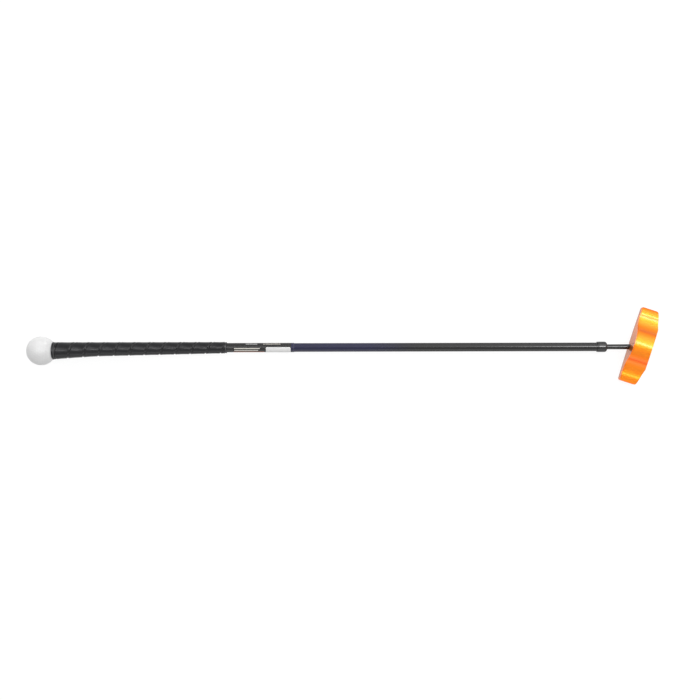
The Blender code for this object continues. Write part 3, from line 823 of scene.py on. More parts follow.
@dataclass(frozen=True, kw_only=True)
class PrintedFilmFinish(Finish):
    """Charcoal film printed with plain rules."""

    radius: float
    rules: tuple[InkRule, ...]
    name: str = "printed_film"
    gloss: Gloss = Gloss(ior=1.46)
    colour: Colour = (0.007, 0.007, 0.0075)
    dark_colour: Colour = (0.004, 0.004, 0.0045)
    roughness: Span = (0.22, 0.30)
    grain_size: float = 0.0011
    ripple_size: float = 0.006
    ripple_depth: float = 0.00002
    ink_edge: float = 0.00008

    def within(self, graph: Graph, away: Socket, reach: float) -> Socket:
        """1 where a distance is less than a reach, with a soft edge."""
        return graph.span(away, (reach - self.ink_edge, reach + self.ink_edge), (1.0, 0.0))

    def inked(self, graph: Graph, place: Socket, rule: InkRule) -> Socket:
        """Find where a rule lies.

        Args:
            graph: The nodes of the material.
            place: The position.
            rule: The rule.

        Returns:
            1 on the rule and 0 beside it.
        """
        along = graph.away(graph.axis(place, "X"), (rule.start + rule.end) / 2)
        angle = graph.math("ARCTAN2", graph.axis(place, "Y"), graph.axis(place, "Z"))
        across = graph.math("MULTIPLY", graph.away(angle, math.radians(rule.angle)), self.radius)
        lengthwise = self.within(graph, along, (rule.end - rule.start) / 2)
        return graph.math("MULTIPLY", lengthwise, self.within(graph, across, rule.width / 2))

    def surface(self, graph: Graph) -> Surface:
        """Film with the rules printed on it.

        Args:
            graph: The nodes of the material.

        Returns:
            Colour, roughness and relief.
        """
        place = graph.place()
        grain = graph.noise(place, self.grain_size, Detail.FINE)
        colour = graph.blend(grain, self.dark_colour, self.colour)
        for rule in self.rules:
            colour = graph.blend(self.inked(graph, place, rule), colour, rule.colour)
        roughness = graph.span(grain, NOISE_SPAN, self.roughness)
        return Surface(colour, roughness, graph.noise(place, self.ripple_size), self.ripple_depth)


@dataclass(frozen=True, kw_only=True)
class GrainedTapeFinish(Finish):
    """Soft charcoal tape with a fine leather grain, burnished along its pressed edges."""

    pitch: float
    seam_at: float
    length: float
    drop: float
    name: str = "charcoal_tape"
    gloss: Gloss = Gloss(ior=1.37)
    colour: Colour = (0.006, 0.006, 0.0085)
    dark_colour: Colour = (0.003, 0.003, 0.004)
    roughness: float = 0.30
    burnish: float = 0.13
    edge_span: Span = (0.0012, 0.0032)
    grain_size: float = 0.0007
    grain_depth: float = 0.000003
    cell_edge: Span = (0.0, 0.12)
    wander_factor: float = 3.0
    pore_size: float = 0.0003
    pore_share: float = 0.5
    cloud_size: float = 0.015
    cloud_tone: Span = (0.7, 1.0)

    def inward(self, graph: Graph, place: Socket) -> Socket:
        """Measure the distance along the club from the nearer edge of the tape.

        Args:
            graph: The nodes of the material.
            place: The position.

        Returns:
            The distance.
        """
        along = graph.axis(place, "X")
        low = graph.span(along, (0.0, self.length), (self.drop, 0.0))
        across = graph.math("ADD", graph.axis(place, "Y"), low)
        angle = graph.math("ARCTAN2", across, graph.axis(place, "Z"))
        turns = graph.math("DIVIDE", angle, 2 * math.pi)
        pitches = graph.math("DIVIDE", graph.math("SUBTRACT", along, self.seam_at), self.pitch)
        phase = graph.math("FRACT", graph.math("SUBTRACT", pitches, turns))
        nearer = graph.math("MINIMUM", phase, graph.math("SUBTRACT", 1.0, phase))
        return graph.math("MULTIPLY", nearer, self.pitch)

    def surface(self, graph: Graph) -> Surface:
        """Grain cells with fine pores, clouded, and smoother towards the edges.

        Args:
            graph: The nodes of the material.

        Returns:
            Colour, roughness and relief.
        """
        place = graph.place()
        wander = graph.noise(place, self.grain_size * self.wander_factor, Detail.FINE)
        cells = graph.span(graph.cells(place, self.grain_size), self.cell_edge, UNIT_SPAN)
        pores = graph.math("MULTIPLY", graph.noise(place, self.pore_size), self.pore_share)
        height = graph.math("ADD", graph.math("ADD", cells, pores), wander)
        cloud = graph.span(graph.noise(place, self.cloud_size), NOISE_SPAN, self.cloud_tone)
        tone = graph.math("MULTIPLY", cells, cloud)
        colour = graph.blend(tone, self.dark_colour, self.colour)
        worn = graph.span(self.inward(graph, place), self.edge_span, (self.burnish, self.roughness))
        return Surface(colour, worn, height, self.grain_depth)


STEEL = TurnedMetalFinish(name="turned_steel", shades=((0.48, 0.49, 0.51), (0.60, 0.61, 0.63)))
BRONZE = TurnedMetalFinish(name="turned_bronze", shades=((0.50, 0.35, 0.16), (0.62, 0.45, 0.22)))
GRIP_RUBBER = RubberFinish(
    name="grip_rubber", shades=((0.016, 0.016, 0.017), (0.026, 0.026, 0.028)), roughness=(0.42, 0.56)
)
CUP_RUBBER = RubberFinish(
    name="cup_rubber", shades=((0.004, 0.004, 0.009), (0.008, 0.008, 0.016)), roughness=(0.14, 0.24)
)
CORE_RUBBER = RubberFinish(
    name="core_rubber", shades=((0.28, 0.38, 0.46), (0.36, 0.47, 0.55)), roughness=(0.5, 0.65)
)
NUT_PLATING = GlossBlackFinish(name="black_nut_plating", gloss=Gloss(ior=1.58), roughness=(0.09, 0.13))


# The club


@dataclass(frozen=True)
class GripShape:
    """The grip's outer shape: round in section, with all its flare on the underside."""

    length: float = 0.255
    butt_radius: float = 0.0126
    waist_radius: float = 0.0104
    tip_radius: float = 0.0083
    waist_at: float = 0.066
    flare_power: float = 1.2
    under_share: float = 0.95

    def radius(self, station: float) -> float:
        """Find the outer radius, straight up to the waist and flared beyond it.

        Args:
            station: Distance from the butt.

        Returns:
            The radius.
        """
        slope = (self.waist_radius - self.tip_radius) / (self.length - self.waist_at)
        straight = self.tip_radius + slope * (self.length - station)
        if station >= self.waist_at:
            return straight
        flare = self.butt_radius - (self.tip_radius + slope * self.length)
        return straight + flare * (1 - station / self.waist_at) ** self.flare_power

    def drop(self, station: float) -> float:
        """How far the section's middle lies below the shaft's axis."""
        return self.under_share * (self.radius(station) - self.tip_radius)

    def straight_drop(self) -> float:
        """The drop that the grip's straight part would have if it ran on to the butt."""
        share = self.length / (self.length - self.waist_at)
        return self.under_share * (self.waist_radius - self.tip_radius) * share


@dataclass(frozen=True)
class Stations:
    """Distances from the butt at which the club's parts meet, and the sizes they share."""

    club_length: float = 0.889
    head_height: float = 0.0324
    lean: float = math.radians(18.0)
    stem_exposed: float = 0.0340
    stem_in_head: float = 0.022
    stem_radius: float = 0.0036
    collar_length: float = 0.0146
    collar_socket: float = 0.009
    cap_end: float = 0.0175
    ball_centre: float = -0.019435
    ball_radius: float = 0.021335
    butt_radius: float = 0.0066
    tip_radius: float = 0.0065

    @property
    def crown(self) -> float:
        """Where the axis meets the head's crown."""
        return self.club_length - self.head_height / math.cos(self.lean)

    @property
    def collar_end(self) -> float:
        """Nose of the collar nut."""
        return self.crown - self.stem_exposed

    @property
    def collar_start(self) -> float:
        """Lip of the collar nut."""
        return self.collar_end - self.collar_length

    @property
    def shaft_end(self) -> float:
        """Tip of the shaft, inside the collar nut."""
        return self.collar_start + self.collar_socket

    @property
    def shaft_start(self) -> float:
        """Butt end of the shaft, inside the grip."""
        return self.cap_end + SEAT_GAP

    def shaft_radius(self, station: float) -> float:
        """Outer radius of the shaft at a distance from the butt."""
        return self.butt_radius + (self.tip_radius - self.butt_radius) * station / self.shaft_end


@dataclass(frozen=True)
class ClubAxes:
    """The club's axes: x from the butt to the sole, y to the toe, z to the back of the head."""

    matrix: Matrix
    grip: GripShape
    at: Stations

    @classmethod
    def from_record(cls, record: dict, grip: GripShape, at: Stations) -> "ClubAxes":
        """Find the axes from the record's joint and mounts.

        Args:
            record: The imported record.
            grip: The grip's shape, which says how far the ball lies off the shaft's axis.
            at: The club's stations.

        Returns:
            The axes in the model's frame.
        """
        joint = record["behaviour"]["joints"][0]
        normals = {mount["name"]: Vector(mount["axis"]) for mount in record["mounts"]}
        along = -Vector(joint["axis"]).normalized()
        toe = normals["sole"].cross(normals["striking_face"]).normalized()
        back = along.cross(toe).normalized()
        across = back.cross(along).normalized()
        turn = Matrix((along, across, back)).transposed()
        ball = Vector(joint["pos_m"])
        origin = ball - turn @ Vector((at.ball_centre, -grip.drop(0.0), 0.0))
        return cls(Matrix.Translation(origin) @ turn.to_4x4(), grip, at)

    def butt(self) -> Matrix:
        """Axes of the butt cap and the cup, whose middle lies below the shaft's axis."""
        return self.matrix @ Matrix.Translation((0.0, -self.grip.drop(0.0), 0.0))

    def ball(self) -> Matrix:
        """Axes of the ball, at its centre."""
        return self.butt() @ Matrix.Translation((self.at.ball_centre, 0.0, 0.0))

    def upright(self) -> Matrix:
        """Axes with z along the club, for bars and cutters."""
        return self.matrix @ QUARTER_TURN


@dataclass
class SubAssembly(ABC):
    """Some pieces of the club that are built and dressed together."""

    axes: ClubAxes

    @abstractmethod
    def build(self) -> list[Piece]:
        """Build the pieces, dress them and hand them to the frame."""

    def dress(
        self, piece: Piece, finishes: list[Finish], slot: str, nodes: list[str], body: Body = Body.CLUB
    ) -> Piece:
        """Give a piece its finishes and its place in the frame.

        Args:
            piece: The piece.
            finishes: Its finishes, by material number.
            slot: The record's material slot; not used.
            nodes: The nodes that it stands for.
            body: The body that it rides on.

        Returns:
            The piece.
        """
        for finish in finishes:
            piece.data.materials.append(finish.material())
        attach(piece, body.value)
        if nodes:
            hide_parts(*nodes)
        return piece


def dress_node(name: str, finish: Finish) -> Piece:
    """Give a node of the frame that stays as it is a finish of its own.

    Args:
        name: Name of the node.
        finish: The finish.

    Returns:
        The node's object.
    """
    node = frame["nodes"][name]
    made = finish.material()
    for slot in node.material_slots:
        slot.material = made
    return node


@dataclass
class Head(SubAssembly):
    """Milled head: three extruded outlines in one solid, with its holes and its weights."""

    muscle_depth: float = 0.0295
    muscle_radius: float = 0.0325
    muscle_half_width: float = 0.0222
    scallop_radius: float = 0.030
    scallop_entry: float = math.radians(50.0)
    scallop_exit: float = math.radians(2.0)
    end_lobe_radius: float = 0.018
    end_lobe_turn: float = math.radians(52.0)
    toe_reach: float = 0.0580
    heel_reach: float = 0.0566
    sole_land: float = 0.012
    relief: float = math.radians(16.0)
    relief_blend: float = 0.012
    rocker: float = math.radians(12.3)
    rocker_half_flat: float = 0.0293
    rocker_blend: float = 0.030
    camber: float = 0.0008
    end_corner: float = 0.003
    edge_break: float = 0.0009
    edge_segments: int = 4
    edge_angle: float = math.radians(28.0)
    elevation_angle: float = math.radians(6.0)
    end_view_angle: float = math.radians(3.0)
    loft: float = math.radians(3.0)
    stem_offset: float = 0.00515
    stem_setback: float = 0.008
    screw_hole: float = 0.0021
    screw_pocket: float = 0.0037
    screw_depth: float = 0.0065
    weight_radius: float = 0.006
    weight_height: float = 0.0213
    weight_recess: float = 0.0005
    weight_spread: float = 0.022
    weight_setback: float = 0.0085
    socket_radius: float = 0.0026
    socket_depth: float = 0.003
    socket_sides: int = 6
    sight_width: float = 0.0012
    sight_depth: float = 0.0006
    hole_steps: int = 72
    margin: float = 0.004
    inner_inset: float = 0.0010
    outer_inset: float = 0.0013

    @property
    def height(self) -> float:
        """Height of the crown over the sole."""
        return self.axes.at.head_height

    def own_axes(self) -> Matrix:
        """Find the middle of the sole under the face: x to the toe, y up, z to the back.

        Returns:
            The head's own axes.
        """
        on_axis = Matrix.Translation((self.axes.at.crown, 0.0, 0.0))
        turn = Matrix.Rotation(math.pi / 2 - self.axes.at.lean, 4, "Z")
        back = Matrix.Translation((self.stem_offset, -self.height, -self.stem_setback))
        return self.axes.matrix @ on_axis @ turn @ back

    def half_plan(self, side: Side) -> list[Point]:
        """Draw the back outline of half the head, from its middle to one end.

        Args:
            side: The end.

        Returns:
            Points as (along, depth).
        """
        muscle_turn = math.asin(self.muscle_half_width / self.muscle_radius)
        muscle_centre = self.muscle_depth - self.muscle_radius
        crease = muscle_centre + self.muscle_radius * math.cos(muscle_turn)
        up = math.pi / 2
        points = arc((0.0, muscle_centre), self.muscle_radius, up, up - muscle_turn, FINE_ANGLE)
        along = self.muscle_half_width + self.scallop_radius * math.sin(self.scallop_entry)
        depth = crease + self.scallop_radius * math.cos(self.scallop_entry)
        start = -up - self.scallop_entry
        end = -up + self.scallop_exit
        points += arc((along, depth), self.scallop_radius, start, end, FINE_ANGLE)[1:]
        last_along, last_depth = points[-1]
        centre = (last_along, last_depth - self.end_lobe_radius)
        points += arc(centre, self.end_lobe_radius, up, up - self.end_lobe_turn, FINE_ANGLE)[1:]
        return [(side.value * along, depth) for along, depth in points]

    def plan(self) -> list[Point]:
        """Draw the outline from above.

        Returns:
            Points as (along, depth).
        """
        front = -self.height * math.tan(self.loft) - self.margin
        outline = self.half_plan(Side.HEEL)[::-1] + self.half_plan(Side.TOE)[1:]
        return [(outline[0][0], front)] + outline + [(outline[-1][0], front)]

    def elevation(self) -> list[Point]:
        """Draw the outline from the back, with its cambered crown and rising sole ends.

        Returns:
            Points as (along, up).
        """
        slope = math.tan(self.rocker)
        corners = [
            (-self.heel_reach, (self.heel_reach - self.rocker_half_flat) * slope, self.end_corner),
            (-self.rocker_half_flat, 0.0, self.rocker_blend),
            (self.rocker_half_flat, 0.0, self.rocker_blend),
            (self.toe_reach, (self.toe_reach - self.rocker_half_flat) * slope, self.end_corner),
        ]
        crown = []
        for along in spaced(self.toe_reach, -self.heel_reach, self.margin):
            crown.append((along, self.height - self.camber * (along / self.toe_reach) ** 2))
        crown[0] = (*crown[0], self.end_corner)
        crown[-1] = (*crown[-1], self.end_corner)
        return rounded(corners + crown, self.elevation_angle)

    def end_view(self) -> list[Point]:
        """Draw the outline from the toe, with its lofted face, sole land and relief.

        Returns:
            Points as (depth, up).
        """
        above = self.height + self.margin
        beyond = self.muscle_depth + 2 * self.margin
        lift = math.tan(self.loft)
        rise = (beyond - self.sole_land) * math.tan(self.relief)
        corners = [
            (self.margin * lift, above),
            (-self.height * lift, 0.0),
            (self.sole_land, 0.0, self.relief_blend),
            (beyond, rise),
            (beyond, above),
        ]
        return rounded(corners, self.end_view_angle)

    def plan_frame(self) -> Matrix:
        """Frame of the outline from above: x to the heel, y to the back, z up."""
        turn = Matrix(((-1, 0, 0, 0), (0, 0, 1, 0), (0, 1, 0, 0), (0, 0, 0, 1)))
        return self.own_axes() @ turn

    def weight_frame(self, side: Side) -> Matrix:
        """Upright frame at the middle of a sole weight."""
        middle = (-side.value * self.weight_spread, self.weight_setback, 0.0)
        return self.plan_frame() @ Matrix.Translation(middle)

    def hole_tools(self) -> list[Piece]:
        """Make the cutters for the stem, its screw, the weights and the sight line.

        Returns:
            The cutters.
        """
        at = self.axes.at
        upright = self.axes.upright()
        stem_end = at.crown + at.stem_in_head + SEAT_GAP
        seat = at.club_length - self.screw_depth
        top = self.weight_recess + self.weight_height + SEAT_GAP
        radius = self.weight_radius + SEAT_GAP
        holes = [
            ("stem_hole", at.stem_radius + SEAT_GAP, at.crown - self.height, stem_end, upright),
            ("screw_hole", self.screw_hole, stem_end - SEAT_GAP, seat + SEAT_GAP, upright),
            ("screw_pocket", self.screw_pocket, seat, at.club_length + 2 * self.margin, upright),
        ]
        for side in Side:
            name = side.name.lower() + "_weight_hole"
            holes.append((name, radius, -2 * self.margin, top, self.weight_frame(side)))
        half = self.sight_width / 2
        low, high = self.height - self.sight_depth, self.height + self.sight_depth
        line = [(-half, low), (half, low), (half, high), (-half, high)]
        reach = 2 * self.muscle_depth
        tools = [rod(*hole, self.hole_steps) for hole in holes]
        return tools + [prism("sight_line", line, -reach, reach, self.own_axes())]

    def body(self) -> Piece:
        """Build the head's body.

        Returns:
            The body, with its faces numbered for the finishes.
        """
        own = self.own_axes()
        low, high = -self.margin, self.height + self.margin
        flipped = [(-along, depth) for along, depth in self.plan()]
        head = prism("milled_head", flipped, low, high, self.plan_frame())
        reach = 2 * self.toe_reach
        front = prism("front_view", self.elevation(), -reach, reach, own)
        side = prism("end_view", self.end_view(), -reach, reach, own @ QUARTER_BACK)
        combine(head, front, Cut.KEEP_SHARED)
        combine(head, side, Cut.KEEP_SHARED)
        bevel = head.modifiers.new("Edge break", "BEVEL")
        bevel.width = self.edge_break
        bevel.segments = self.edge_segments
        bevel.limit_method = "ANGLE"
        bevel.angle_limit = self.edge_angle
        tools = self.hole_tools()
        for tool in tools:
            combine(head, tool, Cut.TAKE_AWAY)
        freeze(head, [front, side, *tools])
        head.data.transform(own.inverted() @ self.plan_frame())
        head.matrix_world = own
        settle_normals(head)
        self.number_faces(head)
        square_up(head)
        return head

    def number_faces(self, head: Piece) -> None:
        """Give the striking face and the crown their own material numbers.

        Args:
            head: The body, still on the head's own axes.
        """
        face = Vector((0.0, math.sin(self.loft), -math.cos(self.loft)))
        crown = Vector((0.0, 1.0, 0.0))
        for polygon in head.data.polygons:
            if polygon.normal.dot(face) > math.cos(self.loft / 2):
                polygon.material_index = HeadFace.STRIKING.value
            elif polygon.normal.dot(crown) > math.cos(self.loft):
                polygon.material_index = HeadFace.CROWN.value

    def crown_painted_shade_bands(self) -> tuple[PaintedShadeBand, ...]:
        """Where shade is painted on the crown: round the stem, for its dark reflection, and along the face.
        """
        painted_face_edge_shade = PaintedShadeBand(at=0.0, depth=1.0, width=0.0045, axis="Z")
        return (PaintedShadeBand(at=-0.006, depth=0.43, width=0.030), painted_face_edge_shade)

    def painted_shade_bands(self) -> tuple[PaintedShadeBand, ...]:
        """Say where shade is painted on the back: at its corners, deepest at the heel, and along its edges.

        Returns:
            The corners and the edges.
        """
        inner = self.muscle_half_width
        turns = math.sin(self.scallop_entry) + math.sin(self.scallop_exit)
        outer = inner + self.scallop_radius * turns
        # Bands of painted shade at the corners, at both ends and along the crown's edge.
        return (
            PaintedShadeBand(at=inner - self.inner_inset, depth=0.42, width=0.0032),
            PaintedShadeBand(at=-inner, depth=1.0, width=0.0020),
            PaintedShadeBand(at=-inner, depth=0.9, width=0.0105),
            PaintedShadeBand(at=outer - self.outer_inset, depth=0.55, width=0.0016),
            PaintedShadeBand(at=self.toe_reach, depth=0.6, width=0.0022),
            PaintedShadeBand(at=-self.heel_reach, depth=0.6, width=0.0022),
            PaintedShadeBand(at=self.height, depth=0.6, width=0.0028, axis="Y"),
        )

    def weight(self, side: Side) -> Piece:
        """Build a turned sole weight with a hexagon socket.

        Args:
            side: The end of the head that it sits at.

        Returns:
            The weight.
        """
        low = self.weight_recess
        high = low + self.weight_height
        chamfer = self.edge_break / 2
        corners = [
            (low, 0.0),
            (low, self.weight_radius, chamfer),
            (high, self.weight_radius, chamfer),
            (high, 0.0),
        ]
        upright = self.weight_frame(side)
        plug = lathe(side.name.lower() + "_plug", rounded(corners), upright @ QUARTER_BACK, closed=False)
        floor = low + self.socket_depth
        drill(plug, [rod("socket", self.socket_radius, -low, floor, upright, self.socket_sides)])
        square_up(plug)
        return plug

    def build(self) -> list[Piece]:
        """Build the head's body and its weights, and dress its screw.

        Returns:
            The pieces.
        """
        turn = tuple(self.own_axes().to_3x3().transposed().to_euler())
        looks = {
            HeadFace.MILLED: AnodisedFinish(turn=turn, painted_shade_bands=self.painted_shade_bands()),
            HeadFace.STRIKING: FlyCutFinish(turn=turn),
            HeadFace.CROWN: CrownFinish(turn=turn, painted_shade_bands=self.crown_painted_shade_bands()),
        }
        finishes = [looks[face] for face in HeadFace]
        pieces = [self.dress(self.body(), finishes, "orange_anodised", ["head_body"])]
        for side in Side:
            node = side.name.lower() + "_weight"
            pieces.append(self.dress(self.weight(side), [STEEL], "weight_steel", [node]))
        return pieces + [dress_node("stem_screw", STEEL)]


@dataclass
class Stem(SubAssembly):
    """Thin gloss black rod between the shaft and the head."""

    in_shaft: float = 0.026
    swell: Span = (0.00015, 0.00027)
    chamfer: float = 0.0006
    drill_radius: float = 0.0021
    drill_depth: float = 0.0103

    def build(self) -> list[Piece]:
        """Build the rod, a little thicker at the head.

        Returns:
            The rod.
        """
        at = self.axes.at
        thin, thick = (at.stem_radius + extra for extra in self.swell)
        start = at.shaft_end - self.in_shaft
        end = at.crown + at.stem_in_head
        depth = end - self.drill_depth
        corners = [
            (start, 0.0),
            (start, thin, self.chamfer),
            (at.collar_end, thin),
            (at.crown, thick),
            (end, thick, self.chamfer),
            (end, self.drill_radius),
            (depth, self.drill_radius),
            (depth, 0.0),
        ]
        stem = lathe("stem_rod", rounded(corners), self.axes.matrix, closed=False)
        return [self.dress(stem, [GlossBlackFinish()], "black_chrome", ["hosel_stem"])]


@dataclass
class Collar(SubAssembly):
    """Collar nut at the shaft's tip, with fine rings to grip it by, and the parts under it."""

    radius: float = 0.0079
    lip_length: float = 0.0008
    groove_width: float = 0.0013
    groove_depth: float = 0.0007
    ring_pitch: float = 0.0012
    ring_depth: float = 0.00002
    ring_points: int = 6
    nose_radius: float = 0.0037
    flange: float = 0.0008
    collet_length: float = 0.0024
    collet_radius: float = 0.0049

    def outer(self) -> list[Corner]:
        """Draw the outer side of the section, from the lip to the nose.

        Returns:
            Its corners.
        """
        at = self.axes.at
        floor = self.radius - self.groove_depth
        lip_end = at.collar_start + self.lip_length
        rings_start = lip_end + self.groove_width
        rings_end = at.collar_end - self.nose_radius
        count = round((rings_end - rings_start) / self.ring_pitch)
        points = [
            (at.collar_start, self.radius, PLAIN_EDGE),
            (lip_end, self.radius, KEEN_EDGE),
            (lip_end, floor),
            (rings_start, floor),
        ]
        for index in range(count * self.ring_points + 1):
            share = index / self.ring_points
            station = rings_start + (rings_end - rings_start) * share / count
            sunk = self.ring_depth * (1 - abs(math.sin(math.pi * share)))
            points.append((station, self.radius - sunk))
        return points + [(at.collar_end, self.radius, self.nose_radius)]

    def build(self) -> list[Piece]:
        """Build the nut, and dress the bush and the collet inside it.

        Returns:
            The pieces.
        """
        at = self.axes.at
        bore = at.stem_radius + SEAT_GAP
        socket = at.tip_radius + SEAT_GAP
        cone_start = at.shaft_end + SEAT_GAP + self.flange + SEAT_GAP
        cone_end = cone_start + self.collet_length + SEAT_GAP
        inner = [
            (at.collar_end, bore),
            (cone_end, bore),
            (cone_end, self.collet_radius + SEAT_GAP),
            (cone_start, socket),
            (at.collar_start, socket, KEEN_EDGE),
        ]
        nut = lathe("collar_nut", rounded(self.outer() + inner), self.axes.matrix)
        self.dress(nut, [NUT_PLATING], "black_chrome", ["shaft_collar"])
        return [nut, dress_node("tip_bush", BRONZE), dress_node("stem_collet", BRONZE)]


@dataclass
class Shaft(SubAssembly):
    """Tapered tube, and the film band with its sticker below the grip."""

    wall: float = 0.0009
    tube_spacing: float = 0.02
    band: Span = (0.2553, 0.355)
    band_spacing: float = 0.01
    band_gap: float = 0.00015
    band_thickness: float = 0.00025
    sticker: Span = (0.3134, 0.3500)
    sticker_turn: Span = (math.radians(4.0), math.radians(-118.0))
    sticker_gap: float = 0.000025
    sticker_thickness: float = 0.0001
    sticker_corner: float = 0.0012
    sticker_columns: int = 36
    sticker_rows: int = 40
    rules: tuple[InkRule, ...] = (
        InkRule(0.2667, 0.3044, -12.0, 0.0013, (0.88, 0.86, 0.78)),
        InkRule(0.2667, 0.3017, -39.0, 0.0013, (0.88, 0.84, 0.78)),
        InkRule(0.2652, 0.3110, -68.0, 0.0012, (0.80, 0.26, 0.12)),
        InkRule(0.2835, 0.3005, 48.0, 0.0009, (0.84, 0.84, 0.84)),
        InkRule(0.3090, 0.3350, 48.0, 0.0009, (0.82, 0.78, 0.70)),
        InkRule(0.3507, 0.3560, 0.0, 0.0500, (0.0015, 0.0022, 0.040)),
        # A thin paler line along the film's edge, where it ends on the shaft.
        InkRule(0.3545, 0.3560, 0.0, 0.0500, (0.05, 0.05, 0.09)),
    )

    def radius(self, station: float) -> float:
        """Outer radius of the tube at a distance from the butt."""
        return self.axes.at.shaft_radius(station)

    def tube(self) -> Piece:
        """Build the tube, open at both ends.

        Returns:
            The tube.
        """
        stations = spaced(self.axes.at.shaft_start, self.axes.at.shaft_end, self.tube_spacing)
        profile = [(station, self.radius(station)) for station in stations]
        profile += [(station, radius - self.wall) for station, radius in reversed(profile)]
        return lathe("shaft_tube_lacquered", profile, self.axes.matrix)

    def film(self) -> Piece:
        """Build the film band.

        Returns:
            The band.
        """
        outer = self.band_gap + self.band_thickness
        stations = spaced(*self.band, self.band_spacing)
        profile = [(station, self.radius(station) + outer) for station in stations]
        profile += [(station, self.radius(station) + self.band_gap) for station in reversed(self.band)]
        return lathe("film_band", profile, self.axes.matrix)

    def paper(self) -> Piece:
        """Build the sticker: thin paper bent round the band, with rounded corners.

        Returns:
            The sticker.
        """
        columns, rows = self.sticker_columns, self.sticker_rows
        first, last = self.sticker
        from_angle, to_angle = self.sticker_turn
        under = self.band_gap + self.band_thickness + self.sticker_gap
        radius = self.radius(first) + under
        half_height = abs(to_angle - from_angle) * radius / 2
        half_length = (last - first) / 2
        vertices = []
        for lift in (0.0, self.sticker_thickness):
            for column in range(columns + 1):
                along = half_length * (2 * column / columns - 1)
                inset = max(0.0, abs(along) - (half_length - self.sticker_corner))
                cut = self.sticker_corner - math.sqrt(max(0.0, self.sticker_corner ** 2 - inset ** 2))
                for row in range(rows + 1):
                    across = (half_height - cut) * (2 * row / rows - 1)
                    angle = (from_angle + to_angle) / 2 + across / radius
                    station = (first + last) / 2 + along
                    reach = self.radius(station) + under + lift
                    vertices.append((station, reach * math.sin(angle), reach * math.cos(angle)))
        size = rows + 1
        layer = size * (columns + 1)
        faces = []
        for column in range(columns):
            for row in range(rows):
                here = column * size + row
                loop = (here, here + 1, here + size + 1, here + size)
                faces.append(loop)
                faces.append(tuple(layer + corner for corner in reversed(loop)))
        rim = [column * size for column in range(columns + 1)]
        rim += [columns * size + row for row in range(1, size)]
        rim += [column * size + rows for column in range(columns - 1, -1, -1)]
        rim += list(range(rows - 1, 0, -1))
        for index, here in enumerate(rim):
            after = rim[(index + 1) % len(rim)]
            faces.append((here, after, layer + after, layer + here))
        return piece_from("paper_sticker", vertices, faces, self.axes.matrix)

    def build(self) -> list[Piece]:
        """Build the tube, the band and the sticker.

        Returns:
            The pieces.
        """
        film_radius = self.radius(self.band[0]) + self.band_gap + self.band_thickness
        printed = PrintedFilmFinish(radius=film_radius, rules=self.rules)
        return [
            self.dress(self.tube(), [FadedPaintFinish()], "shaft_paint", ["shaft_tube"]),
            self.dress(self.film(), [printed], "band_film", ["shaft_band"]),
            self.dress(self.paper(), [PaperFinish()], "band_film", []),
        ]


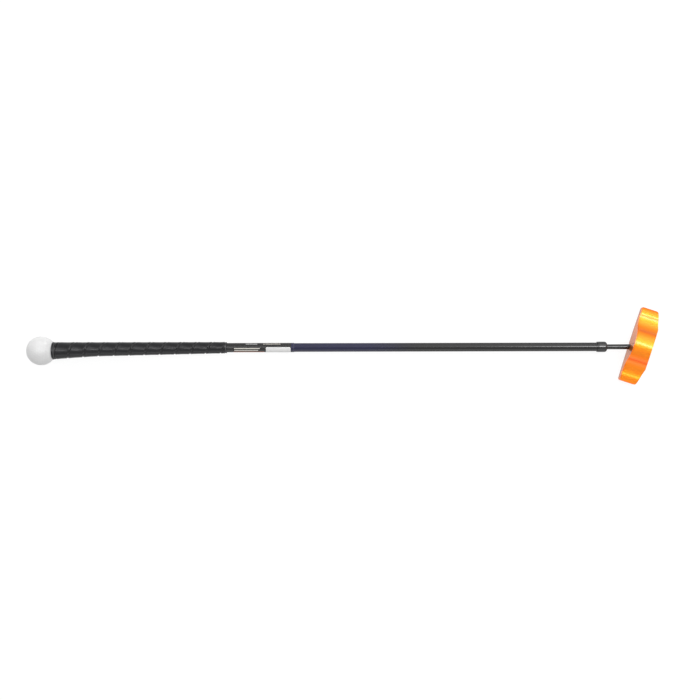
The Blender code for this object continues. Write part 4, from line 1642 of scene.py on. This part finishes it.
@dataclass
class Grip(SubAssembly):
    """Rubber sleeve with a tape wound round it in a spiral, and the cap in its butt."""

    tape_thickness: float = 0.0006
    tape_span: Span = (0.0029, 0.2532)
    pitch: float = 0.0226
    seam_at: float = 0.0028
    seam_drop: float = 0.00057
    seam_slope: float = 0.0020
    slope_steps: int = 5
    lip_rise: float = 0.00032
    lip_width: float = 0.0012
    lip_factors: Span = (1.3, 1.6)
    least_width: float = 0.0012
    turn_steps: int = 96
    tip_lip: float = 0.0015
    sleeve_start: float = 0.0026
    sleeve_steps: int = 96
    sleeve_spacing: float = 0.006
    cap_rim: float = 0.0023
    cap_radius: float = 0.0092
    cap_corner: float = 0.0005
    cap_dish: float = 0.0026
    cap_hole: float = 0.0029
    cap_recess: Span = (0.0068, 0.0055)

    def slope(self, width: float) -> float:
        """Width of the slope down to a seam, at most a third of the tape's."""
        return min(self.seam_slope, width / 3)

    def sunk(self, inward: float, width: float) -> float:
        """How far the tape's surface lies under its outline near one of its edges.

        Args:
            inward: Distance from the tape's nearer edge.
            width: Width of the tape here.

        Returns:
            The depth, which is negative on the raised lip.
        """
        slope = self.slope(width)
        fall = self.seam_drop * (1 - smooth_step(inward / slope)) * slope / self.seam_slope
        lip = math.exp(-(((inward - slope) / self.lip_width) ** 2))
        return fall - self.lip_rise * lip * slope / self.seam_slope

    def section(self, seam: float) -> list[Point]:
        """Draw the section of the tape, always with the same number of points.

        Args:
            seam: Station of its leading seam.

        Returns:
            Points as (station, radius).
        """
        grip = self.axes.grip
        low, high = self.tape_span
        start = max(seam, low)
        end = min(seam + self.pitch - SEAT_GAP, high)
        width = end - start
        slope = self.slope(width)
        inward = [share * slope / self.slope_steps for share in range(self.slope_steps + 1)]
        inward += [slope * factor for factor in self.lip_factors]
        full = 2 * len(inward) + 1
        inward = [value for value in inward if value < width / 2] + [width / 2]
        offsets = inward + [width - value for value in reversed(inward[:-1])]
        points = []
        for offset in offsets:
            station = start + offset
            edge = min(offset, width - offset)
            points.append((station, grip.radius(station) - self.sunk(edge, width)))
        while len(points) < full:
            points.insert(len(points) // 2, points[len(points) // 2])
        return points + [(station, grip.radius(station) - self.tape_thickness) for station in (end, start)]

    def tape(self) -> Piece:
        """Wind the tape, one closed strip that is trimmed square at both ends.

        Returns:
            The tape.
        """
        low, high = self.tape_span
        first_seam = low + self.least_width - (self.pitch - SEAT_GAP)
        last_seam = high - self.least_width
        first = math.ceil((first_seam - self.seam_at) / self.pitch * self.turn_steps)
        last = math.floor((last_seam - self.seam_at) / self.pitch * self.turn_steps)
        vertices = []
        for index in range(first, last + 1):
            angle = index * 2 * math.pi / self.turn_steps
            for station, radius in self.section(self.seam_at + self.pitch * index / self.turn_steps):
                across = radius * math.sin(angle) - self.axes.grip.drop(station)
                vertices.append((station, across, radius * math.cos(angle)))
        rows = last - first + 1
        size = len(vertices) // rows
        faces = [tuple(range(size)), tuple(range((rows - 1) * size, rows * size))]
        for row in range(rows - 1):
            for corner in range(size):
                here = row * size + corner
                beside = row * size + (corner + 1) % size
                faces.append((beside, here, here + size, beside + size))
        return piece_from("wound_tape", vertices, faces, self.axes.matrix)

    def sleeve(self) -> Piece:
        """Build the rubber sleeve under the tape, with the lip that shows at its thin end.

        Returns:
            The sleeve.
        """
        grip, at, steps = self.axes.grip, self.axes.at, self.sleeve_steps
        under = self.tape_thickness + SEAT_GAP
        lip = grip.length - self.tip_lip
        outer = [
            (grip.length, 0.0),
            (grip.length, grip.tip_radius, SOFT_EDGE),
            (lip, grip.tip_radius, KEEN_EDGE),
        ]
        for station in spaced(lip, self.sleeve_start, self.sleeve_spacing):
            outer.append((station, grip.radius(station) - under))
        outer.append((self.sleeve_start, 0.0))
        sleeve = lathe("grip_sleeve", rounded(outer), self.axes.matrix, steps, closed=False, drop=grip.drop)
        half_step = Matrix.Rotation(math.pi / steps, 4, "Z")
        upright = self.axes.upright() @ half_step
        sunken = self.axes.butt() @ QUARTER_TURN @ half_step
        bore = at.butt_radius + SEAT_GAP
        recess = self.cap_radius + SEAT_GAP
        tools = [
            rod("bore", bore, at.cap_end, grip.length + self.tip_lip, upright, steps),
            rod("recess", recess, -self.sleeve_start, at.shaft_start, sunken, steps),
        ]
        drill(sleeve, tools)
        return sleeve

    def cap(self) -> Piece:
        """Build the butt cap, dished for the cup.

        Returns:
            The cap.
        """
        recess, floor = self.cap_recess
        rim = self.axes.grip.butt_radius
        end = self.axes.at.cap_end
        corners = [
            (end, self.cap_hole),
            (end, self.cap_radius, self.cap_corner),
            (self.cap_rim, self.cap_radius),
            (self.cap_rim, rim, PLAIN_EDGE),
            (0.0, rim, SOFT_EDGE),
            (self.cap_dish, recess),
            (floor, recess),
            (floor, self.cap_hole),
        ]
        return lathe("grip_cap", rounded(corners), self.axes.butt())

    def build(self) -> list[Piece]:
        """Build the tape, the cap and the sleeve.

        Returns:
            The pieces.
        """
        grip = self.axes.grip
        tape = GrainedTapeFinish(
            pitch=self.pitch, seam_at=self.seam_at, length=grip.length, drop=grip.straight_drop()
        )
        return [
            self.dress(self.tape(), [tape], "grip_tape", ["grip_wrap"]),
            self.dress(self.cap(), [GRIP_RUBBER], "grip_rubber", ["butt_cap"]),
            self.dress(self.sleeve(), [GRIP_RUBBER], "grip_rubber", ["grip_underlisting"]),
        ]


@dataclass
class PickUpCup(SubAssembly):
    """Soft cup that fits the ball, with its screw."""

    rim_radius: float = 0.0129
    rim_bulge: float = 0.0003
    body_radius: float = 0.0065
    body_end: float = 0.0052
    stem_radius: float = 0.0026
    stem_end: float = 0.016
    dish_depth: float = 0.0026
    dish_spacing: float = 0.0006
    screw_radius: float = 0.0013
    screw_head: float = 0.0026
    screw_floor: float = 0.0038

    def ball_surface(self, radius: float) -> float:
        """Station of the ball's surface with its clearance, at a distance from the axis."""
        reach = self.axes.at.ball_radius + SEAT_GAP
        return self.axes.at.ball_centre + math.sqrt(reach ** 2 - radius ** 2)

    def cup(self) -> Piece:
        """Build the cup, whose inside follows the ball.

        Returns:
            The cup.
        """
        tip = self.ball_surface(self.rim_radius)
        slope = self.dish_depth / (self.axes.grip.butt_radius - self.body_radius - SEAT_GAP)
        root = self.dish_depth - SEAT_GAP
        back = root - slope * (self.rim_radius - self.body_radius - SEAT_GAP)
        hole = self.screw_radius + SEAT_GAP
        head_hole = self.screw_head + SEAT_GAP
        corners = [
            (self.stem_end, hole),
            (self.stem_end, self.stem_radius, PLAIN_EDGE),
            (self.body_end, self.stem_radius),
            (self.body_end, self.body_radius, PLAIN_EDGE),
            (root, self.body_radius, KEEN_EDGE),
            (back, self.rim_radius, KEEN_EDGE),
            ((back + tip) / 2, self.rim_radius + self.rim_bulge, KEEN_EDGE),
            (tip, self.rim_radius, KEEN_EDGE),
        ]
        for radius in spaced(self.rim_radius, head_hole, self.dish_spacing)[1:]:
            corners.append((self.ball_surface(radius), radius))
        corners += [(self.screw_floor, head_hole), (self.screw_floor, hole)]
        return lathe("ball_cup", rounded(corners), self.axes.butt())

    def build(self) -> list[Piece]:
        """Build the cup and dress its screw."""
        cup = self.dress(self.cup(), [CUP_RUBBER], "cup_rubber", ["pickup_cup"])
        return [cup, dress_node("cup_screw", STEEL)]


@dataclass
class GolfBall(SubAssembly):
    """Ball whose cover has dimples on a geodesic pattern."""

    dimple_frequency: int = 6
    dimple_reach: float = 0.0018
    dimple_depth: float = 0.00018
    subdivisions: int = 7
    tilt: Triple = (0.4, 0.7, 0.2)
    same_digits: int = 4

    def dimple_centres(self) -> list[Vector]:
        """Spread the dimples over an icosahedron's faces, each split evenly.

        Returns:
            Unit directions of the dimples.
        """
        work = bmesh.new()
        bmesh.ops.create_icosphere(work, subdivisions=1, radius=1.0)
        count = self.dimple_frequency
        found: dict[tuple[float, ...], Vector] = {}
        for face in work.faces:
            first, second, third = (vertex.co.copy() for vertex in face.verts)
            for row in range(count + 1):
                for column in range(count + 1 - row):
                    rest = count - row - column
                    point = (first * row + second * column + third * rest).normalized()
                    found[tuple(round(value, self.same_digits) for value in point)] = point
        work.free()
        return list(found.values())

    def cover(self) -> Piece:
        """Build the dimpled cover.

        Returns:
            The cover.
        """
        radius = self.axes.at.ball_radius
        centres = self.dimple_centres()
        tree = KDTree(len(centres))
        for index, centre in enumerate(centres):
            tree.insert(centre, index)
        tree.balance()
        work = bmesh.new()
        bmesh.ops.create_icosphere(work, subdivisions=self.subdivisions, radius=1.0)
        for vertex in work.verts:
            direction = vertex.co.normalized()
            away = tree.find(direction)[2] * radius
            depth = self.dimple_depth * smooth_step(1 - away / self.dimple_reach)
            vertex.co = direction * (radius - depth)
        mesh = bpy.data.meshes.new("dimpled_ball")
        work.to_mesh(mesh)
        work.free()
        mesh.shade_smooth()
        turn = Vector(self.tilt).rotation_difference(Vector((0, 0, 1))).to_matrix()
        mesh.transform(turn.to_4x4())
        ball = linked("dimpled_ball", mesh)
        ball.matrix_world = Matrix.Translation(self.axes.ball().translation)
        return ball

    def build(self) -> list[Piece]:
        """Build the cover and dress the core.

        Returns:
            The pieces.
        """
        nodes = ["ball_cover_back", "ball_cover_front"]
        cover = self.dress(self.cover(), [BallCoverFinish()], "ball_cover", nodes, Body.BALL)
        return [cover, dress_node("ball_core", CORE_RUBBER)]


# The studio


@dataclass(frozen=True)
class SoftBox:
    """A flat lamp that faces down, or towards a point."""

    name: str
    place: Triple
    size: Span
    level: float
    lights: Lights = Lights.ALL
    target: Triple | None = None

    def build(self) -> None:
        """Hang the lamp, with its power set so that its face has a given brightness."""
        data = bpy.data.lights.new(self.name, "AREA")
        data.shape = "RECTANGLE"
        data.size, data.size_y = self.size
        data.energy = self.level * math.pi * self.size[0] * self.size[1]
        lamp = linked(self.name, data)
        lamp.location = self.place
        if self.target is not None:
            aim = Vector(self.target) - Vector(self.place)
            lamp.rotation_euler = aim.to_track_quat("-Z", "Y").to_euler()
        lamp.visible_diffuse, lamp.visible_glossy = self.lights.value


@dataclass(frozen=True)
class Glow:
    """A round soft glow in the surroundings, as mirrors and metal see it."""

    tilt: Span
    core: float
    reach: float
    level: float

    def direction(self) -> Vector:
        """Direction of its middle, tilted from straight up towards x and y."""
        across, along = (math.tan(math.radians(angle)) for angle in self.tilt)
        return Vector((across, along, 1.0)).normalized()

    def strength(self, nodes: Nodes, ray: Socket) -> Socket:
        """How strong it is in the direction of a ray.

        Args:
            nodes: The world's nodes.
            ray: Direction of the ray.

        Returns:
            Its strength, which falls from its level at the core to nothing at its reach.
        """
        lean = nodes.node("VectorMath", {0: ray, 1: self.direction()}, operation="DOT_PRODUCT")
        angle = nodes.math("ARCCOSINE", lean.outputs["Value"])
        ring = (math.radians(self.core), math.radians(self.reach))
        return nodes.span(angle, ring, (self.level, 0.0), smooth=True)


@dataclass(frozen=True)
class Studio:
    """White surroundings, a pale floor, the lamps and the camera."""

    camera_place: Triple = (0.008816, -0.005229, 1.465498)
    camera_roll: float = math.radians(-0.126)
    sensor: float = 36.0
    focal_pixels: float = 975.0
    picture_pixels: float = 700.0
    floor_size: float = 12.0
    floor_drop: float = 0.00005
    floor_glow: float = 0.90
    floor_colour: Colour = (0.17, 0.17, 0.17)
    floor_bounce: Colour = (0.80, 0.80, 0.80)
    white: float = 1.0
    surroundings: float = 1.0
    fill: float = 0.56
    glows: tuple[Glow, ...] = (
        Glow(tilt=(19.0, 9.0), core=3.0, reach=9.0, level=18.0),
        Glow(tilt=(30.0, 28.0), core=8.0, reach=42.0, level=1.85),
    )
    boxes: tuple[SoftBox, ...] = (
        SoftBox("window", (1.30, 0.56, 1.76), (1.1, 1.1), 3.8, Lights.COLOUR, (0.44, 0.0, 0.02)),
        SoftBox("fill_box", (-0.7, 1.5, 1.05), (1.2, 1.2), 2.1, Lights.COLOUR, (-0.3, 0.0, 0.0)),
        SoftBox("grip_box", (-0.68, 0.27, 1.7), (0.65, 0.45), 0.3, Lights.COLOUR),
        SoftBox("grip_sheen", (-0.68, 0.23, 1.7), (0.65, 0.62), 14.0, Lights.SHINE),
        SoftBox("heel_grip_box", (-0.52, -1.0, 0.33), (0.70, 0.3), 1.6, Lights.SHINE, (-0.52, 0.0, 0.02)),
        SoftBox("heel_side_box", (0.275, -1.0, 0.33), (0.85, 0.3), 1.3, Lights.SHINE, (0.275, 0.0, 0.02)),
        SoftBox("heel_side_left", (0.10, -1.02, 0.33), (0.50, 0.3), 0.6, Lights.SHINE, (0.10, 0.0, 0.02)),
        SoftBox("toe_side_box", (0.26, 1.0, 0.45), (0.87, 0.3), 1.5, Lights.ALL, (0.26, 0.0, 0.02)),
    )

    def camera(self) -> None:
        """Set the camera straight above the club."""
        data = bpy.data.cameras.new("camera")
        data.sensor_width = self.sensor
        data.lens = self.focal_pixels / self.picture_pixels * self.sensor
        camera = linked("camera", data)
        camera.location = self.camera_place
        camera.rotation_euler = (0.0, 0.0, self.camera_roll)
        bpy.context.scene.camera = camera

    def reflected(self, nodes: Nodes) -> Socket:
        """Add the glows to the surroundings, for what is seen in reflections.

        Args:
            nodes: The world's nodes.

        Returns:
            Strength of the surroundings in reflections.
        """
        ray = nodes.node("TexCoord", {}).outputs["Generated"]
        total: Socket | float = self.surroundings
        for glow in self.glows:
            total = nodes.math("ADD", glow.strength(nodes, ray), total)
        return total

    def world(self) -> None:
        """Surround the club with white, which lights it at a lower level."""
        world = bpy.data.worlds.new("white_room")
        bpy.context.scene.world = world
        nodes = Nodes(world, clear=True)
        path = nodes.node("LightPath", {}).outputs
        lit = nodes.background(self.fill)
        mirrored = nodes.background(self.reflected(nodes))
        white = nodes.background(self.white)
        for kind, background in (
            ("Is Glossy Ray", mirrored),
            ("Is Transmission Ray", mirrored),
            ("Is Camera Ray", white),
        ):
            lit = nodes.node("MixShader", {0: path[kind], 1: lit, 2: background}).outputs[0]
        nodes.node("OutputWorld", {"Surface": lit})

    def floor_material(self) -> Material:
        """Make a pale floor that looks white and keeps a soft shadow.

        Returns:
            The floor's material, paler to the camera, mirrors and clear pieces than to the rest.
        """
        material = bpy.data.materials.new("pale_floor")
        nodes = Nodes(material, clear=True)
        path = nodes.node("LightPath", {}).outputs
        mirrored = nodes.math("MAXIMUM", path["Is Camera Ray"], path["Is Glossy Ray"])
        seen = nodes.math("MAXIMUM", mirrored, path["Is Transmission Ray"])
        bounce = nodes.node("BsdfDiffuse", {"Color": self.floor_bounce}).outputs[0]
        lit = nodes.node("BsdfDiffuse", {"Color": self.floor_colour}).outputs[0]
        glow = nodes.node("Emission", {"Strength": self.floor_glow}).outputs[0]
        both = nodes.node("AddShader", {0: lit, 1: glow}).outputs[0]
        mixed = nodes.node("MixShader", {0: seen, 1: bounce, 2: both}).outputs[0]
        nodes.node("OutputMaterial", {"Surface": mixed})
        return material

    def floor(self) -> None:
        """Lay the floor just under the club."""
        half = self.floor_size / 2
        corners = [(-half, -half, 0.0), (half, -half, 0.0), (half, half, 0.0), (-half, half, 0.0)]
        sheet = piece_from("floor", corners, [(0, 1, 2, 3)], Matrix.Translation((0, 0, -self.floor_drop)))
        sheet.data.materials.append(self.floor_material())

    def build(self) -> None:
        """Set the camera, the surroundings, the floor and the lamps."""
        bpy.context.scene.view_settings.view_transform = "Standard"
        self.camera()
        self.world()
        self.floor()
        for box in self.boxes:
            box.build()


def main() -> None:
    """Build the studio and the club, and report each piece."""
    logging.basicConfig(level=logging.INFO, format="%(name)s: %(message)s")
    Studio().build()
    axes = ClubAxes.from_record(frame["record"], GripShape(), Stations())
    for kind in (Head, Stem, Collar, Shaft, Grip, PickUpCup, GolfBall):
        assembly = kind(axes)
        for piece in assembly.build():
            LOG.info("%s: %s, %d faces", kind.__name__, piece.name, len(piece.data.polygons))


if __name__ == "__main__":
    main()
